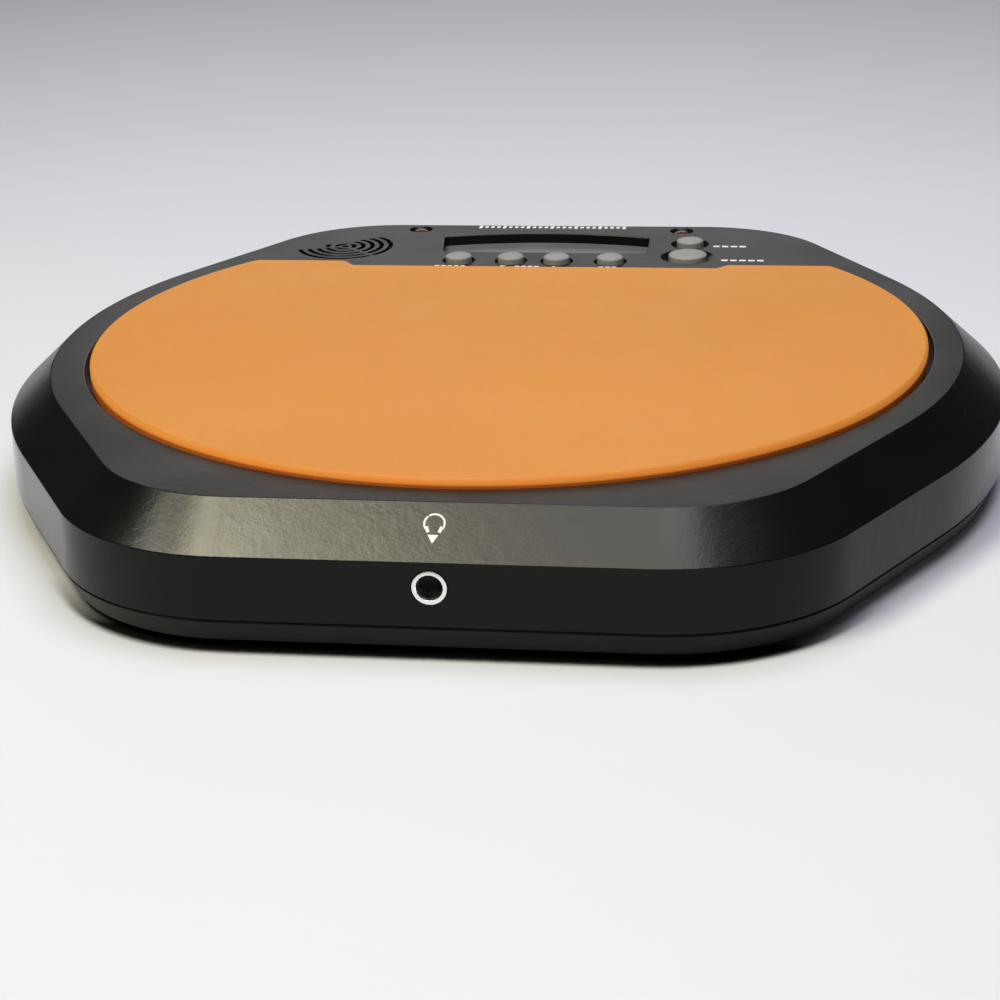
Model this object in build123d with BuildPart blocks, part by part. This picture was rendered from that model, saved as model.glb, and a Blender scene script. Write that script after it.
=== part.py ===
from build123d import *
from math import atan, cos, degrees, radians, sin, tan
import os

# An electronic practice drum pad with a metronome: a hexagonal two-part ABS case, a floating
# rubber striking disc over a piezo sensor, a control panel at the back and a jack at the front.
# Millimetres. Origin: centre of the case on the table. +X right, +Y to the control panel, +Z up.

# ---------------------------------------------------------------- case
apothem = 150.0  # from the centre to the front and back flats
flank_apothem = 150.9  # from the centre to the four slanting flats
corner_radius = 57.0  # the two front and two back corners
side_radius = 157.6  # the wide curves at the left and right
parting_z = 8.6  # joint between the top housing and the bottom cover
shoulder_z = 26.2  # lower edge of the bevel
top_z = 37.8  # flat top face
bevel_inset = 12.6
wall = 2.5
edge_radius = 0.9
fit_gap = 0.05  # between faces that touch on the real pad

# ---------------------------------------------------------------- striking pad
pad_radius = 126.4
pad_centre_x = 0.6
pad_top_z = 40.0
pad_gap = 0.9  # slot between the pad and its well
chord_left_y = 81.2  # the straight back edge, to the left of the notch
chord_right_y = 79.8
notch_y = 75.7  # the back edge steps forward here, to clear the key labels
notch_left_x = -61.5
notch_right_x = 60.8
notch_run = 3.6  # length in X of the notch's sloping ends
foam_thickness = 3.0
plate_thickness = 1.2
well_floor_z = 30.6
floor_under_z = well_floor_z - wall

# ---------------------------------------------------------------- control panel
panel_under_z = top_z - wall
lens_depth = 3.6  # its face lies this far below the panel
lens_thickness = 1.8
lens_half_width = 36.0
lens_front_y = 101.0
lens_arc_radius = 129.5  # the window's back edge is an arc about the case's centre
led_places = [(-47.4, 131.2), (46.4, 131.2)]
speaker_x = -70.5
speaker_y = 107.0
speaker_radius = 17.5
speaker_post_places = [(-64.9, 128.1), (-91.6, 101.4), (-55.1, 91.6)]

# name, x, y, cap radius, height above the panel, radius of the dished well around it
keys = [
    ("display", -27.5, 90.0, 4.5, 2.4, 5.7),
    ("tempo_down", -9.5, 90.0, 4.5, 2.4, 5.7),
    ("tempo_up", 6.2, 90.0, 4.5, 2.4, 5.7),
    ("beat", 24.5, 90.0, 4.5, 2.4, 5.7),
    ("mode", 50.3, 113.5, 4.65, 2.1, 6.7),
    ("power", 50.3, 97.0, 6.5, 1.7, 9.2),
]
key_clearance = 0.3

# ---------------------------------------------------------------- boards
board_top_z = 28.6
board_thickness = 1.6
board_under_z = board_top_z - board_thickness
board_left_x = -51.5
board_right_x = 60.0
board_front_y = 81.0
board_back_y = 135.0
board_screw_places = [(-46.0, 86.0), (55.0, 84.5), (-46.0, 118.0), (57.0, 127.0)]
socket_places = [(-38.0, 84.5), (-14.0, 84.5), (14.0, 84.5), (38.0, 84.5)]
socket_depth = 5.0

# ---------------------------------------------------------------- headphone jack
jack_z = 19.7
sleeve_radius = 4.5
sleeve_bore_radius = 3.2
sleeve_front_y = -apothem - 0.4
sleeve_length = 11.0
jack_back_y = -122.5
jack_half_height = 5.4
jack_board_screw_places = [(-9.5, -115.0), (9.5, -115.0)]

# ---------------------------------------------------------------- bottom cover and batteries
cover_under_z = 2.0
cover_floor_z = cover_under_z + wall
foot_radius = 9.0
foot_places = [(-95, -85), (95, -85), (-80, 105), (80, 105)]
foot_recess = 0.4
back_screw_places = [(-28, 133.5), (28, 133.5)]
screw_places = [(-118, 0), (118, 0), (-70, -100), (70, -100), (-95, 65), (95, 65)] + back_screw_places
boss_joint_z = 9.0
bay_centre_y = 20.0
bay_half_length = 25.0
bay_half_width = 17.5
bay_ceiling_z = 15.3
bay_wall = 2.0
cell_radius = 5.2
cell_pitch = 10.8
cell_length = 43.7
cell_z = 9.7
door_gap = 0.3
door_half_length = 24.0
door_hinge_y = bay_centre_y - 17.0
door_latch_y = bay_centre_y + 17.0
door_thickness = 2.0

os.makedirs("parts", exist_ok=True)


def save(builder, name):
    """Labels a finished sub-part and writes its STEP file."""
    builder.part.label = name
    export_step(builder.part, f"parts/{name}.step")


# ---------------------------------------------------------------- shared shapes
def body_outline(z, inset=0.0):
    """The case's plan: a hexagon with four round corners and a wide curve at each side."""
    with BuildSketch(Plane.XY.offset(z)) as outline:
        Rectangle(3 * apothem, 2 * (apothem - inset))
        for turn in (-60, 60):
            flank_width = 2 * (flank_apothem - inset)
            Rectangle(3 * apothem, flank_width, rotation=turn, mode=Mode.INTERSECT)
        fillet(outline.vertices().filter_by(lambda v: abs(v.Y) > 1), corner_radius - inset)
        fillet(outline.vertices().filter_by(lambda v: abs(v.Y) < 1), side_radius - inset)
    return outline.sketch


def bevelled_block(bottom_z, bevel_z, upper_z, inset, upper_inset):
    """A solid with the case's plan, upright to bevel_z and then sloping in to upper_z."""
    slope = degrees(atan((upper_inset - inset) / (upper_z - bevel_z)))
    with BuildPart() as block:
        extrude(body_outline(bottom_z, inset), amount=bevel_z - bottom_z)
        extrude(body_outline(bevel_z, inset), amount=upper_z - bevel_z, taper=slope)
    return block.part


def pad_outline(z, grow=0.0):
    """The striking disc's plan: a circle with a straight back edge and a shallow notch in it."""
    with BuildSketch(Plane.XY.offset(z)) as outline:
        with Locations((pad_centre_x, 0)):
            Circle(pad_radius)
        with BuildLine():
            Polyline(
                (-2 * pad_radius, chord_left_y),
                (notch_left_x - notch_run, chord_left_y),
                (notch_left_x, notch_y),
                (notch_right_x, notch_y),
                (notch_right_x + notch_run, chord_right_y),
                (2 * pad_radius, chord_right_y),
                (2 * pad_radius, 2 * pad_radius),
                (-2 * pad_radius, 2 * pad_radius),
                close=True,
            )
        make_face(mode=Mode.SUBTRACT)
        if grow:
            offset(amount=grow, kind=Kind.INTERSECTION)
    return outline.sketch


def lens_outline(z, grow=0.0):
    """The display window's plan: straight front and sides, and an arc about the case's centre."""
    corner = 3.0
    with BuildSketch(Plane.XY.offset(z)) as outline:
        Circle(lens_arc_radius)
        with Locations((0, lens_front_y)):
            Rectangle(2 * lens_half_width, 60, align=(Align.CENTER, Align.MIN), mode=Mode.INTERSECT)
        fillet(outline.vertices(), corner)
        if grow:
            offset(amount=grow, kind=Kind.ARC)
    return outline.sketch


def grille_outline(z):
    """Concentric ring slots with bridging ribs, cut off along a line beside the case's corner."""
    slot_width = 1.3
    ring_pitch = 3.2
    rib_width = 1.4
    trim_distance = 5.5
    trim_angle = 32.0
    with BuildSketch(Plane((speaker_x, speaker_y, z))) as slots:
        for ring in range(5, 0, -1):
            Circle(ring * ring_pitch + slot_width / 2)
            Circle(ring * ring_pitch - slot_width / 2, mode=Mode.SUBTRACT)
        with PolarLocations(0.4 * ring_pitch, 3, 75):
            Rectangle(40, rib_width, align=(Align.MIN, Align.CENTER), mode=Mode.SUBTRACT)
        Circle(slot_width * 0.8)
        with PolarLocations(trim_distance, 1, 90 + trim_angle):
            Rectangle(40, 80, align=(Align.MIN, Align.CENTER), mode=Mode.SUBTRACT)
    return slots.sketch


# ---------------------------------------------------------------- top housing
bevel_turn = tan(radians(22))  # the inner corners of an even wall around the bevel
cavity_shoulder_z = shoulder_z - wall * bevel_turn
cavity_upper_inset = bevel_inset + wall * bevel_turn
housing_block = bevelled_block(parting_z, shoulder_z, top_z, 0, bevel_inset)
cavity_block = bevelled_block(parting_z - 1, cavity_shoulder_z, panel_under_z, wall, cavity_upper_inset)

with BuildPart() as top_housing:
    add(housing_block)
    at_ridge = top_housing.faces().sort_by(Axis.Z)[-1].edges()
    at_shoulder = top_housing.edges().filter_by(lambda e: abs(e.center().Z - shoulder_z) < 0.01)
    fillet(at_ridge + at_shoulder, edge_radius)
    chamfer(top_housing.faces().sort_by(Axis.Z)[0].edges(), 0.4)
    add(cavity_block, mode=Mode.SUBTRACT)
    # well for the striking pad, with stiffening ribs under its floor
    extrude(pad_outline(floor_under_z, pad_gap + wall), amount=panel_under_z - floor_under_z + 1)
    rib_depth = 4.0
    with BuildSketch(Plane.XY.offset(floor_under_z - rib_depth)) as ribs:
        with Locations((pad_centre_x, 0)):
            for ring_radius in (60, 100):
                Circle(ring_radius + 1)
                Circle(ring_radius - 1, mode=Mode.SUBTRACT)
            with PolarLocations(20, 6, 30):
                Rectangle(96, 2, align=(Align.MIN, Align.CENTER))
        add(pad_outline(0, -4.0), mode=Mode.INTERSECT)
    extrude(amount=rib_depth)
    extrude(pad_outline(well_floor_z, pad_gap), amount=20, mode=Mode.SUBTRACT)
    with Locations((pad_centre_x, 0, floor_under_z)):
        Cylinder(9, 3 * wall, mode=Mode.SUBTRACT)  # lead hole under the sensor
    # seat of the display window
    lens_seat_z = top_z - lens_depth - lens_thickness
    seat_under_z = lens_seat_z - 1.8
    extrude(lens_outline(seat_under_z, wall), amount=panel_under_z - seat_under_z + 1)
    extrude(lens_outline(lens_seat_z), amount=20, mode=Mode.SUBTRACT)
    with Locations((0, 114, seat_under_z)):
        Box(58, 18, 20, mode=Mode.SUBTRACT)
    # key holes in dished wells
    for key_name, x, y, cap_radius, proud, well_radius in keys:
        hole_radius = cap_radius + key_clearance
        dish_depth = min(1.5, (well_radius - hole_radius) * 0.9)
        with Locations((x, y, panel_under_z)):
            Cylinder(hole_radius, 20, mode=Mode.SUBTRACT)
        with Locations((x, y, top_z - dish_depth / 2)):
            Cone(hole_radius, well_radius, dish_depth, mode=Mode.SUBTRACT)
    # lamp holes with conical reflectors
    for x, y in led_places:
        with Locations((x, y, panel_under_z)):
            Cylinder(2.65, 20, mode=Mode.SUBTRACT)
        with Locations((x, y, top_z - 0.8)):
            Cone(2.65, 4.2, 1.6, mode=Mode.SUBTRACT)
    # speaker grille and the rib that locates the speaker
    extrude(grille_outline(panel_under_z - 1), amount=20, mode=Mode.SUBTRACT)
    with BuildSketch(Plane((speaker_x, speaker_y, panel_under_z - 1.8))) as locating_rib:
        Circle(speaker_radius + 1.5)
        Circle(speaker_radius + 0.2, mode=Mode.SUBTRACT)
    extrude(amount=2)
    for x, y in speaker_post_places:
        with Locations((x, y, panel_under_z - 1.9)):
            Cylinder(2.6, 2, align=(Align.CENTER, Align.CENTER, Align.MIN))
            Cylinder(1.1, 2.2, align=(Align.CENTER, Align.CENTER, Align.MIN), mode=Mode.SUBTRACT)
    # bosses for the case screws, the main board and the jack board
    for x, y in screw_places:
        boss_top = floor_under_z if y < notch_y else panel_under_z
        with Locations((x, y, boss_joint_z + fit_gap)):
            Cylinder(3.5, boss_top - boss_joint_z + 0.5, align=(Align.CENTER, Align.CENTER, Align.MIN))
    for x, y in board_screw_places:
        with Locations((x, y, board_top_z)):
            Cylinder(2.8, panel_under_z - board_top_z + 0.5, align=(Align.CENTER, Align.CENTER, Align.MIN))
    for x, y in jack_board_screw_places:
        with Locations((x, y, jack_z - jack_half_height)):
            boss_height = floor_under_z - jack_z + jack_half_height + 0.5
            Cylinder(2.8, boss_height, align=(Align.CENTER, Align.CENTER, Align.MIN))
    for x, y in screw_places:
        with Locations((x, y, boss_joint_z)):
            Cylinder(1.5, 12, align=(Align.CENTER, Align.CENTER, Align.MIN), mode=Mode.SUBTRACT)
    for x, y in board_screw_places:
        with Locations((x, y, board_top_z)):
            Cylinder(1.1, 5, align=(Align.CENTER, Align.CENTER, Align.MIN), mode=Mode.SUBTRACT)
    for x, y in jack_board_screw_places:
        with Locations((x, y, jack_z - jack_half_height)):
            Cylinder(1.1, 5, align=(Align.CENTER, Align.CENTER, Align.MIN), mode=Mode.SUBTRACT)
    # hole for the jack's sleeve
    with Locations(Location((0, -apothem, jack_z), (90, 0, 0))):
        Cylinder(sleeve_radius + 0.15, 4 * wall, mode=Mode.SUBTRACT)
save(top_housing, "top_housing")


# ---------------------------------------------------------------- bottom cover
tongue_thickness = 1.2
tongue_height = 1.5
tongue_gap = 0.15
cover_lean_inset = 3.3  # its outer wall leans in by this much at the bottom edge
cover_wall = wall + tongue_gap + tongue_thickness
post_radius = 4.2
head_recess_radius = 2.9
head_seat_z = 5.0
pin_z = 3.1
pin_radius = 0.6
pin_length = 1.2

with BuildPart() as bottom_cover:
    cover_top_z = parting_z - fit_gap
    cover_height = cover_top_z - cover_under_z
    cover_lean = degrees(atan(cover_lean_inset / cover_height))
    extrude(body_outline(cover_under_z, cover_lean_inset), amount=cover_height, taper=-cover_lean)
    fillet(bottom_cover.faces().sort_by(Axis.Z)[0].edges(), 0.6)
    chamfer(bottom_cover.faces().sort_by(Axis.Z)[-1].edges(), 0.4)
    extrude(body_outline(cover_top_z - 1, wall + tongue_gap), amount=1 + tongue_height)
    extrude(body_outline(cover_floor_z, cover_wall), amount=20, mode=Mode.SUBTRACT)
    # stiffening ribs across the floor
    rib_height = 2.5
    with BuildSketch(Plane.XY.offset(cover_floor_z)) as floor_ribs:
        with Locations((0, -60), (0, 70)):
            Rectangle(200, 1.6)
        with Locations((-60, 0), (60, 0)):
            Rectangle(1.6, 180)
    extrude(amount=rib_height)
    # posts that meet the housing's bosses
    for x, y in screw_places:
        with Locations((x, y, cover_floor_z)):
            Cylinder(post_radius, boss_joint_z - cover_floor_z, align=(Align.CENTER, Align.CENTER, Align.MIN))
        with Locations((x, y, 0)):
            Cylinder(1.6, 20, align=(Align.CENTER, Align.CENTER, Align.MIN), mode=Mode.SUBTRACT)
            Cylinder(
                head_recess_radius,
                head_seat_z,
                align=(Align.CENTER, Align.CENTER, Align.MIN),
                mode=Mode.SUBTRACT,
            )
    # shallow seats of the feet
    with Locations(*[(x, y, cover_under_z) for x, y in foot_places]):
        Cylinder(foot_radius + 0.2, 2 * foot_recess, mode=Mode.SUBTRACT)
    # battery bay, open below
    with Locations((0, bay_centre_y, cover_floor_z - 0.5)):
        Box(
            2 * (bay_half_length + bay_wall),
            2 * (bay_half_width + bay_wall),
            bay_ceiling_z + bay_wall - cover_floor_z + 0.5,
            align=(Align.CENTER, Align.CENTER, Align.MIN),
        )
    with Locations((0, bay_centre_y, cover_floor_z)):
        Box(
            2 * bay_half_length,
            2 * bay_half_width,
            bay_ceiling_z - cover_floor_z,
            align=(Align.CENTER, Align.CENTER, Align.MIN),
            mode=Mode.SUBTRACT,
        )
    door_edge_y = door_hinge_y - door_thickness / 2
    with Locations((0, door_edge_y - door_gap, 0)):
        Box(
            2 * (door_half_length + door_gap),
            door_latch_y - door_edge_y + 2 * door_gap,
            cover_floor_z,
            align=(Align.CENTER, Align.MIN, Align.MIN),
            mode=Mode.SUBTRACT,
        )
    # bores for the door's hinge pins
    with Locations(Location((0, door_hinge_y, pin_z), (0, 90, 0))):
        Cylinder(pin_radius + 0.15, 2 * (door_half_length + pin_length + 0.3), mode=Mode.SUBTRACT)
    # slot for the battery leads
    with Locations((bay_half_length, bay_centre_y + 10, 12)):
        Box(3 * bay_wall, 4, 3, mode=Mode.SUBTRACT)
save(bottom_cover, "bottom_cover")

# ---------------------------------------------------------------- battery door
door_under_z = pin_z - door_thickness / 2
with BuildPart() as battery_door:
    with BuildSketch(Plane.YZ.offset(-door_half_length)) as door_section:
        with BuildLine():
            Polyline(
                (door_hinge_y, door_under_z + door_thickness),
                (door_latch_y, door_under_z + door_thickness),
                (door_latch_y, door_under_z),
                (door_hinge_y, door_under_z),
            )
            ThreePointArc(
                (door_hinge_y, door_under_z),
                (door_hinge_y - door_thickness / 2, pin_z),
                (door_hinge_y, door_under_z + door_thickness),
            )
        make_face()
    extrude(amount=2 * door_half_length)
    with Locations(Location((0, door_hinge_y, pin_z), (0, 90, 0))):
        Cylinder(pin_radius, 2 * (door_half_length + pin_length))
    # finger scoop with grip ridges at the latch edge
    with Locations((0, door_latch_y - 4, door_under_z)):
        Box(16, 5, 1.2, mode=Mode.SUBTRACT)
    for ridge in range(3):
        with Locations((0, door_latch_y - 5.4 + 1.4 * ridge, door_under_z + 0.2)):
            Box(14, 0.6, 0.9, align=(Align.CENTER, Align.CENTER, Align.MIN))
save(battery_door, "battery_door")

# ---------------------------------------------------------------- feet and case screws
with BuildPart() as rubber_feet:
    with Locations(*[(x, y, 0) for x, y in foot_places]):
        Cylinder(
            foot_radius,
            cover_under_z + foot_recess - fit_gap,
            align=(Align.CENTER, Align.CENTER, Align.MIN),
        )
    chamfer(rubber_feet.edges().filter_by(lambda e: abs(e.center().Z) < 0.01), 0.5)
save(rubber_feet, "rubber_feet")


def screws(places, seat_z, head_radius, head_height, shank_radius, shank_length):
    """Pan-head screws driven from below, one at each place, with a cross recess in each head."""
    cross_depth = 0.6 * head_height
    with BuildPart() as group:
        for x, y in places:
            with Locations((x, y, seat_z)):
                Cylinder(head_radius, head_height, align=(Align.CENTER, Align.CENTER, Align.MAX))
                Cylinder(shank_radius, shank_length, align=(Align.CENTER, Align.CENTER, Align.MIN))
            with Locations((x, y, seat_z - head_height)):
                Box(1.3 * head_radius, 0.7, 2 * cross_depth, mode=Mode.SUBTRACT)
                Box(0.7, 1.3 * head_radius, 2 * cross_depth, mode=Mode.SUBTRACT)
    return group


save(screws(screw_places, head_seat_z - fit_gap, 2.7, 1.8, 1.4, 14), "housing_screws")

# ---------------------------------------------------------------- striking pad
foam_z = well_floor_z + fit_gap
plate_z = well_floor_z + foam_thickness + fit_gap
rubber_z = plate_z + plate_thickness + fit_gap
foam_margin = 3.0
foam_width = 18.0

with BuildPart() as foam_ring:
    extrude(pad_outline(foam_z, -foam_margin), amount=foam_thickness - fit_gap)
    extrude(pad_outline(foam_z, -foam_margin - foam_width), amount=foam_thickness, mode=Mode.SUBTRACT)
save(foam_ring, "foam_ring")

with BuildPart() as striking_plate:
    extrude(pad_outline(plate_z, -0.6), amount=plate_thickness)
save(striking_plate, "striking_plate")

with BuildPart() as rubber_pad:
    extrude(pad_outline(rubber_z), amount=pad_top_z - rubber_z)
    fillet(rubber_pad.faces().sort_by(Axis.Z)[-1].edges(), 0.9)
save(rubber_pad, "rubber_pad")

brass_thickness = 0.3
ceramic_thickness = 0.25
brass_z = plate_z - fit_gap - brass_thickness
ceramic_z = brass_z - fit_gap - ceramic_thickness
with BuildPart() as piezo_brass:
    with Locations((pad_centre_x, 0, brass_z)):
        Cylinder(13.5, brass_thickness, align=(Align.CENTER, Align.CENTER, Align.MIN))
save(piezo_brass, "piezo_brass")

with BuildPart() as piezo_ceramic:
    with Locations((pad_centre_x, 0, ceramic_z)):
        Cylinder(10, ceramic_thickness, align=(Align.CENTER, Align.CENTER, Align.MIN))
save(piezo_ceramic, "piezo_ceramic")

# ---------------------------------------------------------------- keys
key_bottom_z = 31.85
flange_top_z = panel_under_z - 0.1
flange_bottom_z = flange_top_z - 1.2
mat_top_z = key_bottom_z - fit_gap
mat_sheet = 0.8
mat_z = board_top_z + fit_gap
web_plate_z = mat_top_z - 1.2
pill_top_z = web_plate_z - fit_gap
pill_thickness = 0.8


def key_cap(x, y, cap_radius, proud):
    """A round key with a softly domed top and a flange that stops it under the panel."""
    with BuildPart() as key:
        with BuildSketch(Plane.XZ.offset(-y)) as half_section:
            with BuildLine():
                dome_start = top_z + proud - 1.1
                Polyline(
                    (x, top_z + proud),
                    (x, key_bottom_z),
                    (x + cap_radius, key_bottom_z),
                    (x + cap_radius, flange_bottom_z),
                    (x + cap_radius + 1.2, flange_bottom_z),
                    (x + cap_radius + 1.2, flange_top_z),
                    (x + cap_radius, flange_top_z),
                    (x + cap_radius, dome_start),
                )
                Spline(
                    (x + cap_radius, dome_start),
                    (x + 0.75 * cap_radius, dome_start + 0.75),
                    (x, top_z + proud),
                    tangents=((0, 1), (-1, 0)),
                )
            make_face()
        revolve(axis=Axis((x, y, 0), (0, 0, 1)))
    return key


for key_name, x, y, cap_radius, proud, well_radius in keys:
    save(key_cap(x, y, cap_radius, proud), f"{key_name}_key")
    with BuildPart() as pill:
        with Locations((x, y, pill_top_z)):
            Cylinder(1.8, pill_thickness, align=(Align.CENTER, Align.CENTER, Align.MAX))
    save(pill, f"{key_name}_pill")

with BuildPart() as key_mat:
    with BuildSketch(Plane.XY.offset(mat_z)) as mat_plan:
        with Locations((-35, 83.8)):
            Rectangle(94, 12.8, align=(Align.MIN, Align.MIN))
        with Locations((41.5, 83.8)):
            Rectangle(17.5, 36.4, align=(Align.MIN, Align.MIN))
        with Locations(*board_screw_places):
            Circle(3.4, mode=Mode.SUBTRACT)
    extrude(amount=mat_sheet)
    web_height = mat_top_z - mat_z - mat_sheet
    web_cavity = web_plate_z - mat_z
    for key_name, x, y, cap_radius, proud, well_radius in keys:
        with Locations((x, y, mat_z + mat_sheet)):
            Cone(
                cap_radius + 0.6,
                cap_radius - 0.9,
                web_height,
                align=(Align.CENTER, Align.CENTER, Align.MIN),
            )
        with Locations((x, y, mat_z)):
            Cone(
                cap_radius + 0.1,
                cap_radius - 1.5,
                web_cavity,
                align=(Align.CENTER, Align.CENTER, Align.MIN),
                mode=Mode.SUBTRACT,
            )
save(key_mat, "key_mat")

# ---------------------------------------------------------------- display
lens_gap = 0.15
with BuildPart() as display_window:
    extrude(lens_outline(lens_seat_z + fit_gap, -lens_gap), amount=lens_thickness - fit_gap)
save(display_window, "display_window")

display_y = 114.0
frame_top_z = 30.15
glass_z = frame_top_z + fit_gap
with BuildPart() as lcd_glass:
    with Locations((0, display_y, glass_z)):
        Box(56, 17, 1.1, align=(Align.CENTER, Align.CENTER, Align.MIN))
    with Locations((0, display_y, glass_z + 1.1)):
        Box(56, 13, 0.9, align=(Align.CENTER, Align.CENTER, Align.MIN))
save(lcd_glass, "lcd_glass")

strip_offset = 6.9
with BuildPart() as lcd_frame:
    with Locations((0, display_y, mat_z)):
        Box(62, 22, frame_top_z - mat_z, align=(Align.CENTER, Align.CENTER, Align.MIN))
        Box(48, 8, 10, mode=Mode.SUBTRACT)
    with Locations((0, display_y - strip_offset, mat_z), (0, display_y + strip_offset, mat_z)):
        Box(52, 2.4, 10, mode=Mode.SUBTRACT)
save(lcd_frame, "lcd_frame")

with BuildPart() as zebra_strips:
    with Locations((0, display_y - strip_offset, mat_z), (0, display_y + strip_offset, mat_z)):
        Box(51.6, 2, frame_top_z - mat_z, align=(Align.CENTER, Align.CENTER, Align.MIN))
save(zebra_strips, "zebra_strips")


# ---------------------------------------------------------------- lamps
def lamp(x, y):
    """A 5 mm lamp: a flanged body with a domed tip, standing on two legs."""
    body_radius = 2.5
    body_z = 30.6
    tip_z = 36.9
    with BuildPart() as led:
        with Locations((x, y, body_z)):
            Cylinder(2.9, 1, align=(Align.CENTER, Align.CENTER, Align.MIN))
            Cylinder(body_radius, tip_z - body_z, align=(Align.CENTER, Align.CENTER, Align.MIN))
        fillet(led.faces().sort_by(Axis.Z)[-1].edges(), body_radius - 0.2)
        with Locations((x - 1.27, y, body_z + 0.5), (x + 1.27, y, body_z + 0.5)):
            Box(0.5, 0.5, 5.4, align=(Align.CENTER, Align.CENTER, Align.MAX))
    return led


for lamp_name, (x, y) in zip(("left_lamp", "right_lamp"), led_places):
    save(lamp(x, y), lamp_name)

# ---------------------------------------------------------------- main board
with BuildPart() as main_board:
    with BuildSketch(Plane.XY.offset(board_under_z)) as board_plan:
        with Locations((board_left_x, board_front_y)):
            Rectangle(
                board_right_x - board_left_x,
                board_back_y - board_front_y,
                align=(Align.MIN, Align.MIN),
            )
        fillet(board_plan.vertices(), 1.5)
        with Locations(*back_screw_places):
            Circle(4.1, mode=Mode.SUBTRACT)
        with Locations(*board_screw_places):
            Circle(1.3, mode=Mode.SUBTRACT)
        for x, y in led_places:
            with Locations((x - 1.27, y), (x + 1.27, y)):
                Circle(0.5, mode=Mode.SUBTRACT)
    extrude(amount=board_thickness)
save(main_board, "main_board")
save(screws(board_screw_places, board_under_z - fit_gap, 2.2, 1.5, 0.95, 5.5), "board_screws")

with BuildPart() as board_chips:
    chip_z = board_under_z - fit_gap
    with Locations((2, 112, chip_z)):
        Box(14, 14, 1.6, align=(Align.CENTER, Align.CENTER, Align.MAX))
    with Locations((-34, 100, chip_z), (36, 100, chip_z)):
        Box(5, 6, 1.5, align=(Align.CENTER, Align.CENTER, Align.MAX))
    with Locations((22, 118, chip_z)):
        Box(11, 4.6, 3.5, align=(Align.CENTER, Align.CENTER, Align.MAX))
    with Locations((-26, 112, chip_z), (-18, 122, chip_z), (44, 112, chip_z)):
        Cylinder(3.1, 7, align=(Align.CENTER, Align.CENTER, Align.MAX))
save(board_chips, "board_chips")

socket_height = 5.0
with BuildPart() as wire_sockets:
    for x, y in socket_places:
        with Locations((x, y, board_under_z - fit_gap)):
            Box(7.4, socket_depth, socket_height, align=(Align.CENTER, Align.CENTER, Align.MAX))
        with Locations((x, y - socket_depth / 2, board_under_z - fit_gap - socket_height / 2)):
            Box(6, 6, 3.4, mode=Mode.SUBTRACT)
save(wire_sockets, "wire_sockets")

# ---------------------------------------------------------------- speaker
basket_top_z = panel_under_z - 0.1
basket_flange = 2.0
front_plate_z = 27.8
gap_outer_radius = 5.6
pole_radius = 4.3


def turned(section_points):
    """Revolves a closed (radius, height) section about the speaker's axis."""
    with BuildPart() as solid:
        with BuildSketch(Plane((speaker_x, speaker_y, 0), x_dir=(1, 0, 0), z_dir=(0, -1, 0))):
            with BuildLine():
                Polyline(*section_points, close=True)
            make_face()
        revolve(axis=Axis((speaker_x, speaker_y, 0), (0, 0, 1)))
    return solid.part


with BuildPart() as speaker_basket:
    flange_z = basket_top_z - basket_flange
    add(
        turned(
            [
                (speaker_radius, basket_top_z),
                (speaker_radius, flange_z),
                (11, front_plate_z),
                (gap_outer_radius, front_plate_z),
                (gap_outer_radius, front_plate_z + 1),
                (10.4, front_plate_z + 1),
                (15.3, flange_z - 0.4),
                (15.3, basket_top_z),
            ]
        )
    )
    with Locations((speaker_x, speaker_y, 30.6)):
        with PolarLocations(13, 4, 45):
            Box(7, 8, 2.2, mode=Mode.SUBTRACT)
save(speaker_basket, "speaker_basket")

magnet_z = 23.2
with BuildPart() as speaker_magnet:
    with Locations((speaker_x, speaker_y, magnet_z)):
        magnet_height = front_plate_z - fit_gap - magnet_z
        Cylinder(11, magnet_height, align=(Align.CENTER, Align.CENTER, Align.MIN))
        Cylinder(gap_outer_radius + 0.8, 30, mode=Mode.SUBTRACT)
save(speaker_magnet, "speaker_magnet")

with BuildPart() as pole_piece:
    with Locations((speaker_x, speaker_y, magnet_z - fit_gap)):
        Cylinder(11, 1.6, align=(Align.CENTER, Align.CENTER, Align.MAX))
    with Locations((speaker_x, speaker_y, magnet_z - 1)):
        pole_height = front_plate_z + 1 - magnet_z + 1
        Cylinder(pole_radius, pole_height, align=(Align.CENTER, Align.CENTER, Align.MIN))
save(pole_piece, "pole_piece")

coil_inner = 4.6
coil_outer = 5.1
coil_top_z = 31.6
with BuildPart() as voice_coil:
    with Locations((speaker_x, speaker_y, 25.6)):
        Cylinder(coil_outer, coil_top_z - 25.6, align=(Align.CENTER, Align.CENTER, Align.MIN))
        Cylinder(coil_inner, 40, mode=Mode.SUBTRACT)
save(voice_coil, "voice_coil")

cone_edge_z = 33.6
with BuildPart() as speaker_cone:
    add(
        turned(
            [
                (0, 33.0),
                (2.6, 32.7),
                (5.3, coil_top_z + fit_gap),
                (12.6, cone_edge_z - 0.5),
                (12.6, cone_edge_z),
                (5.3, coil_top_z + 0.6),
                (2.6, 33.2),
                (0, 33.5),
            ]
        )
    )
save(speaker_cone, "speaker_cone")

with BuildPart() as speaker_surround:
    add(
        turned(
            [
                (12.7, cone_edge_z - 0.4),
                (13.4, cone_edge_z + 0.3),
                (14.4, cone_edge_z + 0.3),
                (15.1, cone_edge_z - 0.4),
                (15.1, cone_edge_z),
                (14.6, cone_edge_z + 0.7),
                (13.2, cone_edge_z + 0.7),
                (12.7, cone_edge_z),
            ]
        )
    )
save(speaker_surround, "speaker_surround")

# screws with wide washers that clamp the basket's flange to posts on the panel
save(screws(speaker_post_places, basket_top_z - basket_flange - 0.15, 4.4, 1.4, 1.0, 1.9), "speaker_clamps")

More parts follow.
